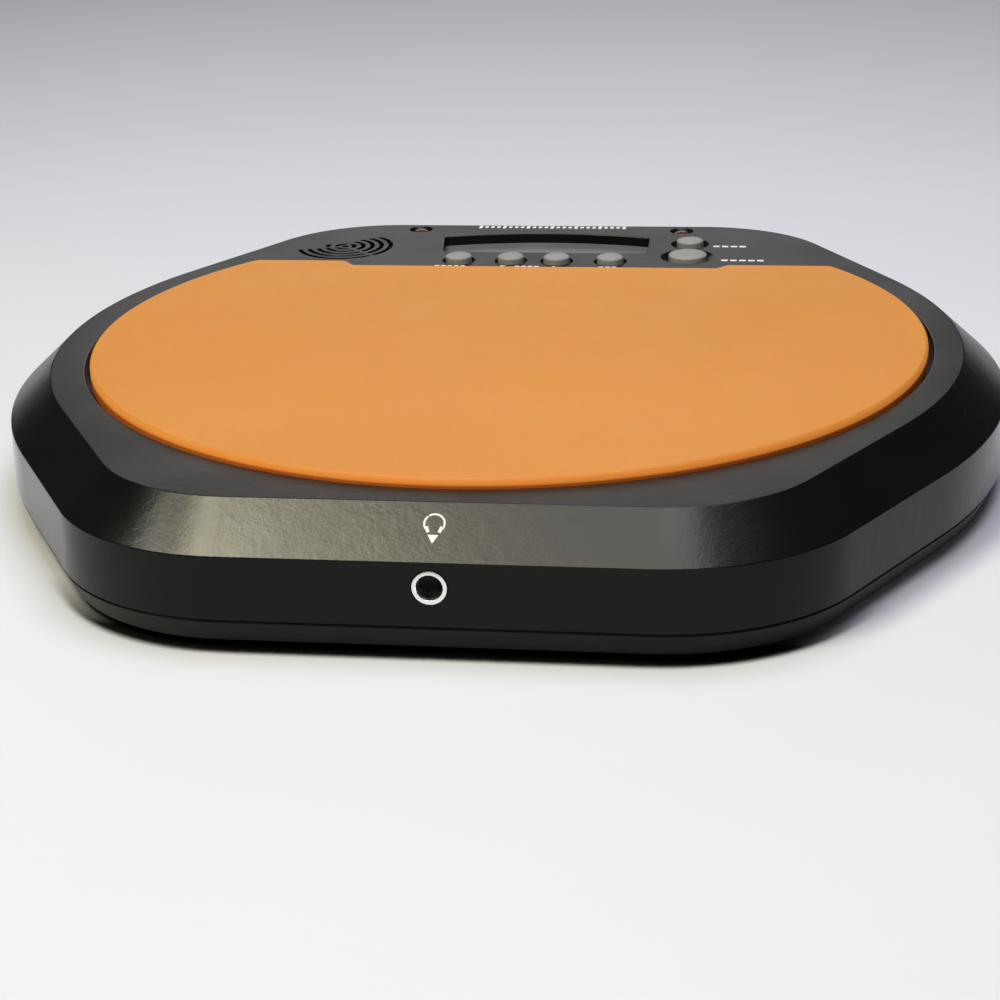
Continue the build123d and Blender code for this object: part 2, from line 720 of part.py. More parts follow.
# ---------------------------------------------------------------- headphone jack
body_front_y = -146.9
jack_half_width = 8.0
sleeve_end_y = sleeve_front_y + sleeve_length
along_jack = Plane((0, 0, jack_z), x_dir=(1, 0, 0), z_dir=(0, 1, 0))

with BuildPart() as jack_sleeve:
    with BuildSketch(along_jack.offset(sleeve_front_y)):
        Circle(sleeve_radius)
        Circle(sleeve_bore_radius, mode=Mode.SUBTRACT)
    extrude(amount=sleeve_length)
    chamfer(jack_sleeve.faces().sort_by(Axis.Y)[0].edges(), 0.3)
save(jack_sleeve, "jack_sleeve")

with BuildPart() as jack_body:
    with BuildSketch(along_jack.offset(body_front_y)):
        Rectangle(2 * jack_half_width, 2 * jack_half_height - 2 * fit_gap)
    extrude(amount=jack_back_y - body_front_y)
    with BuildSketch(along_jack.offset(body_front_y)):
        Circle(sleeve_radius + fit_gap)
    extrude(amount=sleeve_end_y - body_front_y + fit_gap, mode=Mode.SUBTRACT)
    with BuildSketch(along_jack.offset(body_front_y)):
        Circle(3.5)
    extrude(amount=jack_back_y - body_front_y - 1.5, mode=Mode.SUBTRACT)
    # side slots that hold the contacts
    for contact_y in (-134, -127):
        with Locations((0, contact_y, jack_z)):
            Box(2 * jack_half_width + 1, 2.6, 3.4, mode=Mode.SUBTRACT)
save(jack_body, "jack_body")

with BuildPart() as jack_contacts:
    for contact_y in (-134, -127):
        for side in (-1, 1):
            with Locations((side * 6.0, contact_y, jack_z - 1.5)):
                Box(0.4, 2.2, 3.0, align=(Align.CENTER, Align.CENTER, Align.MIN))
            with Locations((side * 5.0, contact_y, jack_z + 0.9)):
                Box(2.4, 2.2, 0.4, align=(Align.CENTER, Align.CENTER, Align.MIN))
save(jack_contacts, "jack_contacts")

jack_board_top_z = jack_z - jack_half_height - fit_gap
with BuildPart() as jack_board:
    with BuildSketch(Plane.XY.offset(jack_board_top_z - board_thickness)):
        with Locations((0, -144)):
            Rectangle(26, 34, align=(Align.CENTER, Align.MIN))
        with Locations(*jack_board_screw_places):
            Circle(1.3, mode=Mode.SUBTRACT)
    extrude(amount=board_thickness)
save(jack_board, "jack_board")
jack_screw_z = jack_board_top_z - board_thickness - fit_gap
save(screws(jack_board_screw_places, jack_screw_z, 2.2, 1.5, 0.95, 5.5), "jack_board_screws")

# ---------------------------------------------------------------- batteries
cell_rows = [(-1, 1), (0, -1), (1, 1)]  # row, and the side its positive end points to
with BuildPart() as battery_cells:
    for row, positive in cell_rows:
        row_y = bay_centre_y + row * cell_pitch
        with Locations(Location((0, row_y, cell_z), (0, 90, 0))):
            Cylinder(cell_radius, cell_length)
        with Locations(Location((positive * (cell_length / 2 + 0.4), row_y, cell_z), (0, 90, 0))):
            Cylinder(1.9, 0.8)
save(battery_cells, "battery_cells")

plate_x = bay_half_length - 0.3
with BuildPart() as battery_plates:
    for row, positive in cell_rows:
        row_y = bay_centre_y + row * cell_pitch
        with Locations((-plate_x, row_y, cell_z), (plate_x, row_y, cell_z)):
            Box(0.4, 8.6, 8.6)
        with Locations((positive * (plate_x - 1.0), row_y, cell_z)):
            Box(1.4, 4, 4)
save(battery_plates, "battery_plates")

wire_radius = 0.35
with BuildPart() as battery_springs:
    for row, positive in cell_rows:
        row_y = bay_centre_y + row * cell_pitch
        start = (-positive * (plate_x - 0.65), row_y, cell_z)
        with BuildLine() as coil:
            Helix(pitch=0.75, height=1.5, radius=2.6, center=start, direction=(positive, 0, 0))
        with BuildSketch(Plane(coil.line @ 0, z_dir=coil.line % 0)):
            Circle(wire_radius)
        sweep(path=coil.line)
save(battery_springs, "battery_springs")


# ---------------------------------------------------------------- wires
def wires(paths, radius=0.6):
    """Insulated leads, one round tube along each path of points."""
    with BuildPart() as group:
        for path in paths:
            with BuildLine() as lead:
                Spline(*path)
            with BuildSketch(Plane(lead.line @ 0, z_dir=lead.line % 0)):
                Circle(radius)
            sweep(path=lead.line)
    return group


def pair(path, spacing=1.6):
    """The same path twice, side by side."""
    half = spacing / 2
    return [[(x + side * half, y + side * half, z) for x, y, z in path] for side in (-1, 1)]


piezo_path = [
    (pad_centre_x, 0, 31.8),
    (pad_centre_x, 0, 26),
    (-3, 9, 21),
    (-10, 40, 20.5),
    (-14, 70, 21.5),
    (-14, 80.5, 24),
]
speaker_path = [(-58, 100, 25.2), (-52, 90, 23), (-44, 79, 21.5), (-39, 79, 23), (-38, 81.5, 24)]
battery_path = [(28, 30, 12), (33, 40, 13), (38, 60, 20), (38, 74, 23), (38, 81.5, 24)]
jack_path = [(3, -107, 15), (14, -90, 18), (30, -40, 20), (33, 10, 20.5), (18, 60, 21), (14, 80.5, 24)]
save(wires(pair(piezo_path)), "piezo_wires")
save(wires(pair(speaker_path)), "speaker_wires")
save(wires(pair(battery_path)), "battery_wires")
save(wires(pair(jack_path)), "jack_wires")
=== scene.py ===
from math import acos, asin, atan2, cos, pi, radians, sin, tan

import bpy
import numpy as np
from mathutils import Matrix, Vector
from mathutils.geometry import delaunay_2d_cdt


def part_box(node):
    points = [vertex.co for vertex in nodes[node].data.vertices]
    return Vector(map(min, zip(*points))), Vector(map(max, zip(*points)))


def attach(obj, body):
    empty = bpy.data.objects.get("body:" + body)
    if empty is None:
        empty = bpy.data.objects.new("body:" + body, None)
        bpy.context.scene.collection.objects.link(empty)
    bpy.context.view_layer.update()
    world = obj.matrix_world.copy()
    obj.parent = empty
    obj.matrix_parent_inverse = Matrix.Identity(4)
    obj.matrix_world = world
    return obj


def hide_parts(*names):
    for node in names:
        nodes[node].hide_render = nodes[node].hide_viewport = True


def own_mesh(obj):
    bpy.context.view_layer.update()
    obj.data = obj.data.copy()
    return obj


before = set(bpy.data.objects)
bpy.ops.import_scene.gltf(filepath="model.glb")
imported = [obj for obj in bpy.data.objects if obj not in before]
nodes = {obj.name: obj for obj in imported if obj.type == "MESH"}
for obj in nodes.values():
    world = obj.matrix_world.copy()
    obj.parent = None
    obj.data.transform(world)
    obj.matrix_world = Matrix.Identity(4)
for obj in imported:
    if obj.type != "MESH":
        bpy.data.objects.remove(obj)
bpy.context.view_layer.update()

MM = 0.001
scene = bpy.context.scene

# ------------------------------------------------------------------ sizes shared with the CAD
APOTHEM = 150.0
FLANK_APOTHEM = 150.9
CORNER_RADIUS = 57.0
SIDE_RADIUS = 157.6
PARTING_Z = 8.6
COVER_LEAN = 3.3
COVER_UNDER_Z = 2.0
COVER_INNER_Z = 4.5
FOOT_SEAT_RADIUS = 9.2
SCREW_SEAT_RADIUS = 2.9
DOOR_HALF_X = 24.3
DOOR_CLEARANCE = 0.3
BAY_CEILING_Z = 15.3
BAY_WALL = 2.0
SHOULDER_Z = 26.2
TOP_Z = 37.8
BEVEL_INSET = 12.6
WALL = 2.5
PANEL_UNDER_Z = TOP_Z - WALL
PAD_RADIUS = 126.4
PAD_CENTRE_X = 0.6
PAD_TOP_Z = 40.0
PAD_GAP = 1.4
CHORD_LEFT_Y = 81.2
CHORD_RIGHT_Y = 79.8
NOTCH_Y = 75.7
NOTCH_LEFT_X = -61.5
NOTCH_RIGHT_X = 60.8
NOTCH_RUN = 3.6
WELL_FLOOR_Z = 30.6
FOAM_OUTER_INSET = 3.0
FOAM_INNER_INSET = 21.0
LENS_LEFT_X = (-34.6, -37.0)  # at the front and at the back
LENS_RIGHT_X = (36.2, 35.6)
LENS_FRONT_Y = 101.0
LENS_ARC_RADIUS = 126.3
LENS_FACE_Z = TOP_Z - 3.3
LENS_THICKNESS = 1.8
LENS_LEDGE = 1.8
JACK_Z = 19.7
SPEAKER = (-70.5, 107.0)
GRILLE_PITCH = 3.2
GRILLE_SLOT = 1.3
GRILLE_TRIM = 5.5
GRILLE_TRIM_ANGLE = radians(122)
GRILLE_RINGS = 5
GRILLE_RIB_HALF = 0.7
LAMPS = {"left_lamp": (-47.4, 131.2), "right_lamp": (46.4, 131.2)}
LAMP_RADIUS = 3.3
LAMP_HOLE_RADIUS = 3.45
LAMP_DISH_RADIUS = 4.2
KEY_CLEARANCE = 0.3
SLEEVE_RADIUS = 4.5
SLEEVE_BORE = 3.2
# name: x, y, cap radius, height above the panel, radius of the dished well
KEYS = {
    "display": (-27.5, 90.0, 4.5, 2.4, 5.7),
    "tempo_down": (-9.5, 90.0, 4.5, 2.4, 5.7),
    "tempo_up": (6.2, 90.0, 4.5, 2.4, 5.7),
    "beat": (24.5, 90.0, 4.5, 2.4, 5.7),
    "mode": (50.3, 113.5, 4.65, 2.1, 6.7),
    "power": (50.3, 97.0, 6.5, 1.7, 9.2),
}
FEET = [(-95, -85), (95, -85), (-80, 105), (80, 105)]
SCREWS = [(-118, 0), (118, 0), (-70, -100), (70, -100), (-95, 65), (95, 65), (-28, 133.5), (28, 133.5)]


# ------------------------------------------------------------------ closed paths with outward normals
class Path:
    """A closed counterclockwise path: points, and the outward normal at each."""

    def __init__(self, points, normals):
        self.p = np.array(points, float)
        self.n = np.array(normals, float)

    def at(self, offset):
        return self.p + self.n * offset


def arc_points(centre, radius, start, end, steps, inward=False):
    angles = np.linspace(start, end, steps + 1)
    out = np.stack([np.cos(angles), np.sin(angles)], 1)
    return np.array(centre) + radius * out, (-out if inward else out)


def case_path(steps_per_corner=40):
    """The case's plan at its widest: six flats, four round corners and a wide curve at each side."""
    points, normals = [], []
    for corner in range(6):
        middle = corner * pi / 3
        radius = SIDE_RADIUS if corner % 3 == 0 else CORNER_RADIUS
        sides = [middle - pi / 6, middle + pi / 6]
        reaches = [(APOTHEM if abs(sin(a)) > 0.9 else FLANK_APOTHEM) - radius for a in sides]
        centre = np.linalg.solve([[cos(a), sin(a)] for a in sides], reaches)
        p, n = arc_points(centre, radius, *sides, steps_per_corner)
        points += list(p)
        normals += list(n)
    return Path(points, normals)


def circle_path(centre, radius, steps=48):
    p, n = arc_points(centre, radius, 0, 2 * pi, steps)
    return Path(p[:-1], n[:-1])


def rounded_path(corners, radii, steps=8):
    """A closed counterclockwise polygon with each corner rounded to its radius (0 leaves it as it is)."""
    corners = np.array(corners, float)
    count = len(corners)
    points, normals = [], []
    for i in range(count):
        here, before, after = corners[i], corners[i - 1], corners[(i + 1) % count]
        come = (here - before) / np.linalg.norm(here - before)
        go = (after - here) / np.linalg.norm(after - here)
        turn = atan2(come[0] * go[1] - come[1] * go[0], float(np.dot(come, go)))
        normal_in = np.array([come[1], -come[0]])
        if radii[i] == 0 or abs(turn) < 1e-6:
            bisector = normal_in + np.array([go[1], -go[0]])
            points.append(here)
            normals.append(bisector / np.linalg.norm(bisector))
            continue
        side = 1 if turn > 0 else -1
        setback = radii[i] * tan(abs(turn) / 2)
        start = here - come * setback
        centre = start - side * normal_in * radii[i]
        for step in range(steps + 1):
            angle = turn * step / steps
            n = np.array([
                normal_in[0] * cos(angle) - normal_in[1] * sin(angle),
                normal_in[0] * sin(angle) + normal_in[1] * cos(angle),
            ])
            points.append(centre + side * n * radii[i])
            normals.append(n)
    return Path(points, normals)


def pad_path(inset=0.0):
    """The striking disc's plan, or one drawn in from it: a circle with a straight, notched back."""
    radius = PAD_RADIUS - inset
    left_y, right_y, notch_y = CHORD_LEFT_Y - inset, CHORD_RIGHT_Y - inset, NOTCH_Y - inset
    left_x = NOTCH_LEFT_X - inset * tan(atan2(CHORD_LEFT_Y - NOTCH_Y, NOTCH_RUN) / 2)
    right_x = NOTCH_RIGHT_X + inset * tan(atan2(CHORD_RIGHT_Y - NOTCH_Y, NOTCH_RUN) / 2)
    left_end = pi - asin(left_y / radius)
    right_end = 2 * pi + asin(right_y / radius)
    arc, _ = arc_points((PAD_CENTRE_X, 0), radius, left_end, right_end, 150)
    corners = list(arc) + [
        (right_x + NOTCH_RUN, right_y),
        (right_x, notch_y),
        (left_x, notch_y),
        (left_x - NOTCH_RUN, left_y),
    ]
    radii = [2.6] + [0] * (len(arc) - 2) + [2.6, 2.6, 1.2, 1.2, 2.6]
    return rounded_path(corners, radii)


def lens_path():
    """The display window's plan: straight front and sides, and a back edge that is an arc."""
    right_end = acos(LENS_RIGHT_X[1] / LENS_ARC_RADIUS)
    left_end = acos(LENS_LEFT_X[1] / LENS_ARC_RADIUS)
    arc, _ = arc_points((0, 0), LENS_ARC_RADIUS, right_end, left_end, 16)
    corners = [(LENS_LEFT_X[0], LENS_FRONT_Y), (LENS_RIGHT_X[0], LENS_FRONT_Y)] + list(arc)
    radii = [2, 2, 1.2] + [0] * (len(arc) - 2) + [1.2]
    return rounded_path(corners, radii)


def slot_path(centre, radius, start, end, width):
    """A slot that follows an arc about centre, with round ends."""
    half = width / 2
    steps = max(4, int((end - start) * radius / 1.0))
    outer, outer_n = arc_points(centre, radius + half, start, end, steps)
    inner, inner_n = arc_points(centre, radius - half, end, start, steps, inward=True)
    tip = (centre[0] + radius * cos(end), centre[1] + radius * sin(end))
    root = (centre[0] + radius * cos(start), centre[1] + radius * sin(start))
    tip_p, tip_n = arc_points(tip, half, end, end + pi, 6)
    root_p, root_n = arc_points(root, half, start + pi, start + 2 * pi, 6)
    points = np.concatenate([outer, tip_p[1:-1], inner, root_p[1:-1]])
    normals = np.concatenate([outer_n, tip_n[1:-1], inner_n, root_n[1:-1]])
    return Path(points, normals)


def grille_paths():
    """Concentric ring slots about the speaker, bridged by three ribs and cut off along a slanting line."""
    paths = [circle_path(SPEAKER, GRILLE_SLOT * 0.8, 20)]
    for ring in range(1, GRILLE_RINGS + 1):
        radius = ring * GRILLE_PITCH
        gap = (GRILLE_RIB_HALF + GRILLE_SLOT / 2) / radius
        blocked = [(radians(a) - gap, radians(a) + gap) for a in (75, 195, 315)]
        if radius > GRILLE_TRIM:
            half = acos((GRILLE_TRIM - GRILLE_SLOT / 2) / radius)
            blocked.append((GRILLE_TRIM_ANGLE - half, GRILLE_TRIM_ANGLE + half))
        blocked = sorted((a % (2 * pi), a % (2 * pi) + b - a) for a, b in blocked)
        merged = [list(blocked[0])]
        for a, b in blocked[1:]:
            if a <= merged[-1][1]:
                merged[-1][1] = max(merged[-1][1], b)
            else:
                merged.append([a, b])
        for i, (a, b) in enumerate(merged):
            following = merged[(i + 1) % len(merged)][0] + (2 * pi if i + 1 == len(merged) else 0)
            if following - b > 0.12:
                paths.append(slot_path(SPEAKER, radius, b, following, GRILLE_SLOT))
    return paths


# ------------------------------------------------------------------ profiles, as (offset, z) pairs
def rounded_profile(points, radii, steps=5):
    """An open run of (offset, z) points with each inner corner rounded to its radius."""
    points = [np.array(p, float) for p in points]
    out = [tuple(points[0])]
    for i in range(1, len(points) - 1):
        here = points[i]
        come = (here - points[i - 1]) / np.linalg.norm(here - points[i - 1])
        go = (points[i + 1] - here) / np.linalg.norm(points[i + 1] - here)
        turn = acos(max(-1, min(1, float(np.dot(come, go)))))
        if radii[i - 1] == 0 or turn < 1e-6:
            out.append(tuple(here))
            continue
        setback = radii[i - 1] * tan(turn / 2)
        start, end = here - come * setback, here + go * setback
        for step in range(steps + 1):
            t = step / steps
            a = start + (here - start) * t
            b = here + (end - here) * t
            out.append(tuple(a + (b - a) * t))
    out.append(tuple(points[-1]))
    return out


# ------------------------------------------------------------------ mesh building
class Mesh:
    """Collects vertices (mm) and faces, then becomes one Blender object."""

    def __init__(self):
        self.v, self.f = [], []

    def ring(self, xy, z):
        start = len(self.v)
        self.v += [(x, y, z) for x, y in xy]
        return list(range(start, len(self.v)))

    def band(self, low, high, flip=False):
        count = len(low)
        for i in range(count):
            j = (i + 1) % count
            quad = (low[i], low[j], high[j], high[i])
            self.f.append(quad[::-1] if flip else quad)

    def sweep(self, path, profile, flip=False):
        """Joins the path's offset copies along a profile; returns the first and last rings."""
        rings = [self.ring(path.at(offset), z) for offset, z in profile]
        for low, high in zip(rings, rings[1:]):
            self.band(low, high, flip)
        return rings[0], rings[-1]

    def plate(self, outer, holes, up=True):
        """Fills between one ring of vertices and the rings of its holes, all at one height."""
        loops = [outer] + holes
        index = [i for loop in loops for i in loop]
        flat = [Vector((self.v[i][0], self.v[i][1])) for i in index]
        edges, start = [], 0
        for loop in loops:
            count = len(loop)
            edges += [(start + i, start + (i + 1) % count) for i in range(count)]
            start += count
        verts, _, faces, origin, _, _ = delaunay_2d_cdt(flat, edges, [], 0, 1e-5)
        z = self.v[index[0]][2]
        where = []
        for v, source in zip(verts, origin):
            if source:
                where.append(index[source[0]])
            else:
                where.append(len(self.v))
                self.v.append((v.x, v.y, z))
        rims = [np.array([self.v[i][:2] for i in loop]) for loop in loops]
        for face in faces:
            middle = sum((np.array(verts[i][:]) for i in face), np.zeros(2)) / len(face)
            if inside(middle, rims[0]) and not any(inside(middle, rim) for rim in rims[1:]):
                ids = [where[i] for i in face]
                a, b, c = (np.array(self.v[i][:2]) for i in ids[:3])
                area = (b - a)[0] * (c - a)[1] - (b - a)[1] * (c - a)[0]
                if (area > 0) != up:
                    ids = ids[::-1]
                self.f.append(tuple(ids))

    def object(self, name, material, matrix=None, smooth=40):
        mesh = bpy.data.meshes.new(name)
        mesh.from_pydata([(x * MM, y * MM, z * MM) for x, y, z in self.v], [], self.f)
        if matrix is not None:
            mesh.transform(matrix)
        obj = bpy.data.objects.new(name, mesh)
        scene.collection.objects.link(obj)
        return finish_mesh(obj, material, smooth)


def inside(point, loop):
    """Whether a point lies in a closed loop of points."""
    x, y = point
    a, b = loop, np.roll(loop, -1, 0)
    crosses = (a[:, 1] > y) != (b[:, 1] > y)
    with np.errstate(divide="ignore", invalid="ignore"):
        at = a[:, 0] + (y - a[:, 1]) / (b[:, 1] - a[:, 1]) * (b[:, 0] - a[:, 0])
    return bool(np.count_nonzero(crosses & (at > x)) % 2)


def finish_mesh(obj, material, smooth=40):
    """Merges doubled points, shades by angle and gives the object its material."""
    bpy.ops.object.select_all(action="DESELECT")
    bpy.context.view_layer.objects.active = obj
    obj.select_set(True)
    bpy.ops.object.mode_set(mode="EDIT")
    bpy.ops.mesh.select_all(action="SELECT")
    bpy.ops.mesh.remove_doubles(threshold=1e-6)
    bpy.ops.mesh.normals_make_consistent(inside=False)
    bpy.ops.object.mode_set(mode="OBJECT")
    bpy.ops.object.shade_smooth_by_angle(angle=radians(smooth))
    weighted = obj.modifiers.new("weighted", "WEIGHTED_NORMAL")
    weighted.keep_sharp = True
    weighted.weight = 100
    obj.data.materials.clear()
    obj.data.materials.append(material)
    return obj


def lathe(name, material, profile, centre, steps=64, matrix=None, smooth=40):
    """Revolves an open (radius, z) profile about an upright axis; a radius of 0 closes it."""
    m = Mesh()
    rings = []
    for radius, z in profile:
        if radius == 0:
            m.v.append((centre[0], centre[1], z))
            rings.append([len(m.v) - 1])
        else:
            rings.append(m.ring(circle_path(centre, radius, steps).p, z))
    for low, high in zip(rings, rings[1:]):
        if len(low) == 1:
            m.f += [(low[0], high[(i + 1) % steps], high[i]) for i in range(steps)]
        elif len(high) == 1:
            m.f += [(low[i], low[(i + 1) % steps], high[0]) for i in range(steps)]
        else:
            m.band(low, high)
    return m.object(name, material, matrix, smooth)


def stand_in(obj, body, cad_node):
    """The object rides on a body and is shown instead of this CAD node."""
    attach(obj, body)
    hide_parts(cad_node)


# ------------------------------------------------------------------ materials
class Shader:
    """A Principled material with helpers for procedural detail in object coordinates."""

    def __init__(self, name, colour, roughness, metallic=0.0, specular=0.5):
        self.material = bpy.data.materials.new(name)
        self.material.use_nodes = True
        self.tree = self.material.node_tree
        self.bsdf = self.tree.nodes["Principled BSDF"]
        self.set("Base Color", (*colour, 1))
        self.set("Roughness", roughness)
        self.set("Metallic", metallic)
        self.set("Specular IOR Level", specular)
        self.place = self.node("ShaderNodeTexCoord").outputs["Object"]
        self.height = None

    def node(self, kind, **values):
        made = self.tree.nodes.new(kind)
        for key, value in values.items():
            if key in made.inputs:
                made.inputs[key].default_value = value
            else:
                setattr(made, key, value)
        return made

    def set(self, name, value):
        self.bsdf.inputs[name].default_value = value

    def link(self, a, b):
        self.tree.links.new(a, b)

    def noise(self, scale, detail=3.0, rough=0.5, stretch=None):
        made = self.node("ShaderNodeTexNoise", Scale=scale, Detail=detail, Roughness=rough)
        source = self.place
        if stretch:
            mapping = self.node("ShaderNodeMapping")
            mapping.inputs["Scale"].default_value = stretch
            self.link(source, mapping.inputs["Vector"])
            source = mapping.outputs["Vector"]
        self.link(source, made.inputs["Vector"])
        return made.outputs["Fac"]

    def math(self, operation, a, b):
        """One arithmetic node; a and b are sockets or numbers."""
        made = self.node("ShaderNodeMath", operation=operation)
        for value, socket in zip((a, b), made.inputs):
            if isinstance(value, (int, float)):
                socket.default_value = value
            else:
                self.link(value, socket)
        return made.outputs[0]

    def facing_up(self):
        """How far the surface faces up: 1 on top, 0 on a wall, -1 underneath."""
        apart = self.node("ShaderNodeSeparateXYZ")
        self.link(self.node("ShaderNodeTexCoord").outputs["Normal"], apart.inputs[0])
        return apart.outputs["Z"]

    def mix_colour(self, factor, a, b):
        """Mixes two colours, given as sockets or as (r, g, b)."""
        mix = self.node("ShaderNodeMix", data_type="RGBA")
        self.link(factor, mix.inputs["Factor"])
        for value, socket in zip((a, b), [i for i in mix.inputs if i.type == "RGBA"]):
            if isinstance(value, tuple):
                socket.default_value = (*value, 1)
            else:
                self.link(value, socket)
        return [o for o in mix.outputs if o.type == "RGBA"][0]

    def ramp(self, source, low, high, start=0.0, end=1.0):
        """Maps the source's range start..end to low..high, held at both ends."""
        made = self.node("ShaderNodeMapRange")
        made.inputs["From Min"].default_value = start
        made.inputs["From Max"].default_value = end
        made.inputs["To Min"].default_value = low
        made.inputs["To Max"].default_value = high
        self.link(source, made.inputs["Value"])
        return made.outputs["Result"]

    def vary_roughness(self, source, low, high, start=0.3, end=0.7):
        self.link(self.ramp(source, low, high, start, end), self.bsdf.inputs["Roughness"])

    def vary_colour(self, source, dark, light, start=0.3, end=0.7):
        mixed = self.mix_colour(self.ramp(source, 0, 1, start, end), dark, light)
        self.link(mixed, self.bsdf.inputs["Base Color"])
        return mixed

    def bump(self, source, strength, distance):
        """Adds one layer of bump; distance in metres."""
        made = self.node("ShaderNodeBump", Strength=strength, Distance=distance)
        self.link(source, made.inputs["Height"])
        if self.height is not None:
            self.link(self.height, made.inputs["Normal"])
        self.height = made.outputs["Normal"]
        self.link(self.height, self.bsdf.inputs["Normal"])


def grain(shader, scale=1400, strength=0.25, distance=0.00004):
    """Fine moulded texture, a leathery pitting and a broad, faint unevenness of the surface."""
    shader.bump(shader.noise(60, 2), 0.09, 0.0002)
    shader.bump(shader.noise(260, 3, 0.6), 0.35, 0.00016)
    shader.bump(shader.noise(700, 3, 0.6), 0.35, 0.00008)
    shader.bump(shader.noise(scale, 4, 0.6), strength, distance)


def case_plastic():
    """Black moulded plastic, glossier on the walls and the bevel than on top."""
    s = Shader("case_plastic", (0.006, 0.006, 0.006), 0.34, specular=0.25)
    facing = s.facing_up()
    by_face = s.math("ADD", s.ramp(facing, 0.11, 0.25, 0.0, 0.6), s.ramp(facing, 0, 0.125, 0.80, 0.98))
    uneven = s.ramp(s.noise(35, 4), -0.03, 0.03, 0.3, 0.7)
    s.link(s.math("ADD", by_face, uneven), s.bsdf.inputs["Roughness"])
    s.link(s.ramp(facing, 0.16, 0.27, 0.0, 0.5), s.bsdf.inputs["Specular IOR Level"])
    s.vary_colour(s.noise(18, 3), (0.0035, 0.0035, 0.0035), (0.0052, 0.0052, 0.0050))
    grain(s)
    return s.material


def cover_plastic():
    """The same black plastic, duller and without the sheen."""
    s = Shader("cover_plastic", (0.005, 0.005, 0.005), 0.42, specular=0.15)
    s.vary_roughness(s.noise(40, 4), 0.36, 0.48)
    grain(s, 1200, 0.3)
    return s.material


def orange_rubber():
    """The disc's rubber. Its rounded rim is painted a lighter, more saturated orange than the top, as painted light
    where the rim lacks the top's light and white sheen; its foot next to the panel is painted dark red as shade; and a
    painted glow on the rim stands in for light inside the rubber.
    """
    s = Shader("orange_rubber", (0.68, 0.27, 0.055), 0.5, specular=0.3)
    face = s.vary_colour(s.noise(9, 4, 0.55), (0.582, 0.224, 0.036), (0.617, 0.248, 0.045))
    facing = s.facing_up()
    # painted light: the more the surface turns away from up, the more it is painted a lighter, more saturated orange
    side = s.mix_colour(s.ramp(facing, 1.0, 0.0, -0.1, 0.6), face, (0.85, 0.35, 0.065))
    apart = s.node("ShaderNodeSeparateXYZ")
    s.link(s.place, apart.inputs[0])
    # painted shade: the rim's foot, just above the panel, is painted dark red
    painted_foot_shade = s.ramp(apart.outputs["Z"], 1.0, 0.0, (TOP_Z - 0.2) * MM, (TOP_Z + 0.4) * MM)
    s.link(s.mix_colour(painted_foot_shade, side, (0.75, 0.18, 0.026)), s.bsdf.inputs["Base Color"])
    # painted glow: the rim emits a faint orange light that stands in for light inside the rubber
    s.set("Emission Color", (0.80, 0.29, 0.05, 1))
    glow = s.math("MULTIPLY", s.ramp(facing, 0.40, 0.0, 0.1, 0.9), s.math("SUBTRACT", 1.0, painted_foot_shade))
    s.link(glow, s.bsdf.inputs["Emission Strength"])
    s.vary_roughness(s.noise(25, 4), 0.46, 0.58)
    s.bump(s.noise(9, 2), 0.03, 0.0006)
    s.bump(s.noise(900, 4, 0.6), 0.3, 0.00005)
    s.set("Subsurface Weight", 0.7)
    s.set("Subsurface Radius", (1.0, 0.30, 0.05))
    s.set("Subsurface Scale", 0.003)
    return s.material


def plain(name, dark, light, roughness, scale=60, metallic=0.0, bump=0.2, fine=900, stretch=None):
    """A surface with colour mottling, roughness variation and a fine bump."""
    s = Shader(name, dark, roughness, metallic)
    s.vary_colour(s.noise(scale, 4, 0.6, stretch), dark, light)
    s.vary_roughness(s.noise(scale * 2, 3, 0.5, stretch), roughness * 0.85, roughness * 1.15)
    s.bump(s.noise(fine, 3, 0.6, stretch), bump, 0.00004)
    return s.material


def window_plastic():
    """A switched-off display under its window: an even grey face with a soft sheen."""
    s = Shader("window_plastic", (0.13, 0.13, 0.13), 0.3)
    s.vary_colour(s.noise(60, 3), (0.120, 0.120, 0.119), (0.138, 0.138, 0.136))
    s.vary_roughness(s.noise(120, 3), 0.28, 0.36)
    s.bump(s.noise(40, 2), 0.05, 0.0001)
    return s.material


def lcd_surface():
    """A switched-off liquid crystal panel: grey-green, with faint vertical banding."""
    s = Shader("lcd_surface", (0.20, 0.215, 0.20), 0.35)
    wave = s.node("ShaderNodeTexWave", Scale=900.0, Distortion=0.0)
    s.link(s.place, wave.inputs["Vector"])
    s.vary_colour(wave.outputs["Fac"], (0.19, 0.205, 0.19), (0.215, 0.23, 0.215), 0, 1)
    s.vary_roughness(s.noise(80, 2), 0.3, 0.4)
    return s.material


def lamp_plastic():
    """Dark red, slightly cloudy plastic of a lamp that is off."""
    s = Shader("lamp_plastic", (0.10, 0.02, 0.03), 0.15, specular=0.3)
    s.vary_colour(s.noise(400, 2), (0.085, 0.018, 0.026), (0.13, 0.026, 0.036))
    s.vary_roughness(s.noise(300, 2), 0.08, 0.18)
    s.set("Subsurface Weight", 0.3)
    s.set("Subsurface Radius", (1.0, 0.1, 0.1))
    s.set("Subsurface Scale", 0.002)
    return s.material


def stripes(name, dark, light, scale):
    """A surface of fine parallel ridges, such as wound wire."""
    s = Shader(name, dark, 0.6)
    wave = s.node("ShaderNodeTexWave", Scale=scale, Distortion=0.3)
    s.link(s.place, wave.inputs["Vector"])
    s.vary_colour(wave.outputs["Fac"], dark, light, 0.3, 0.7)
    s.bump(wave.outputs["Fac"], 0.3, 0.0001)
    return s.material


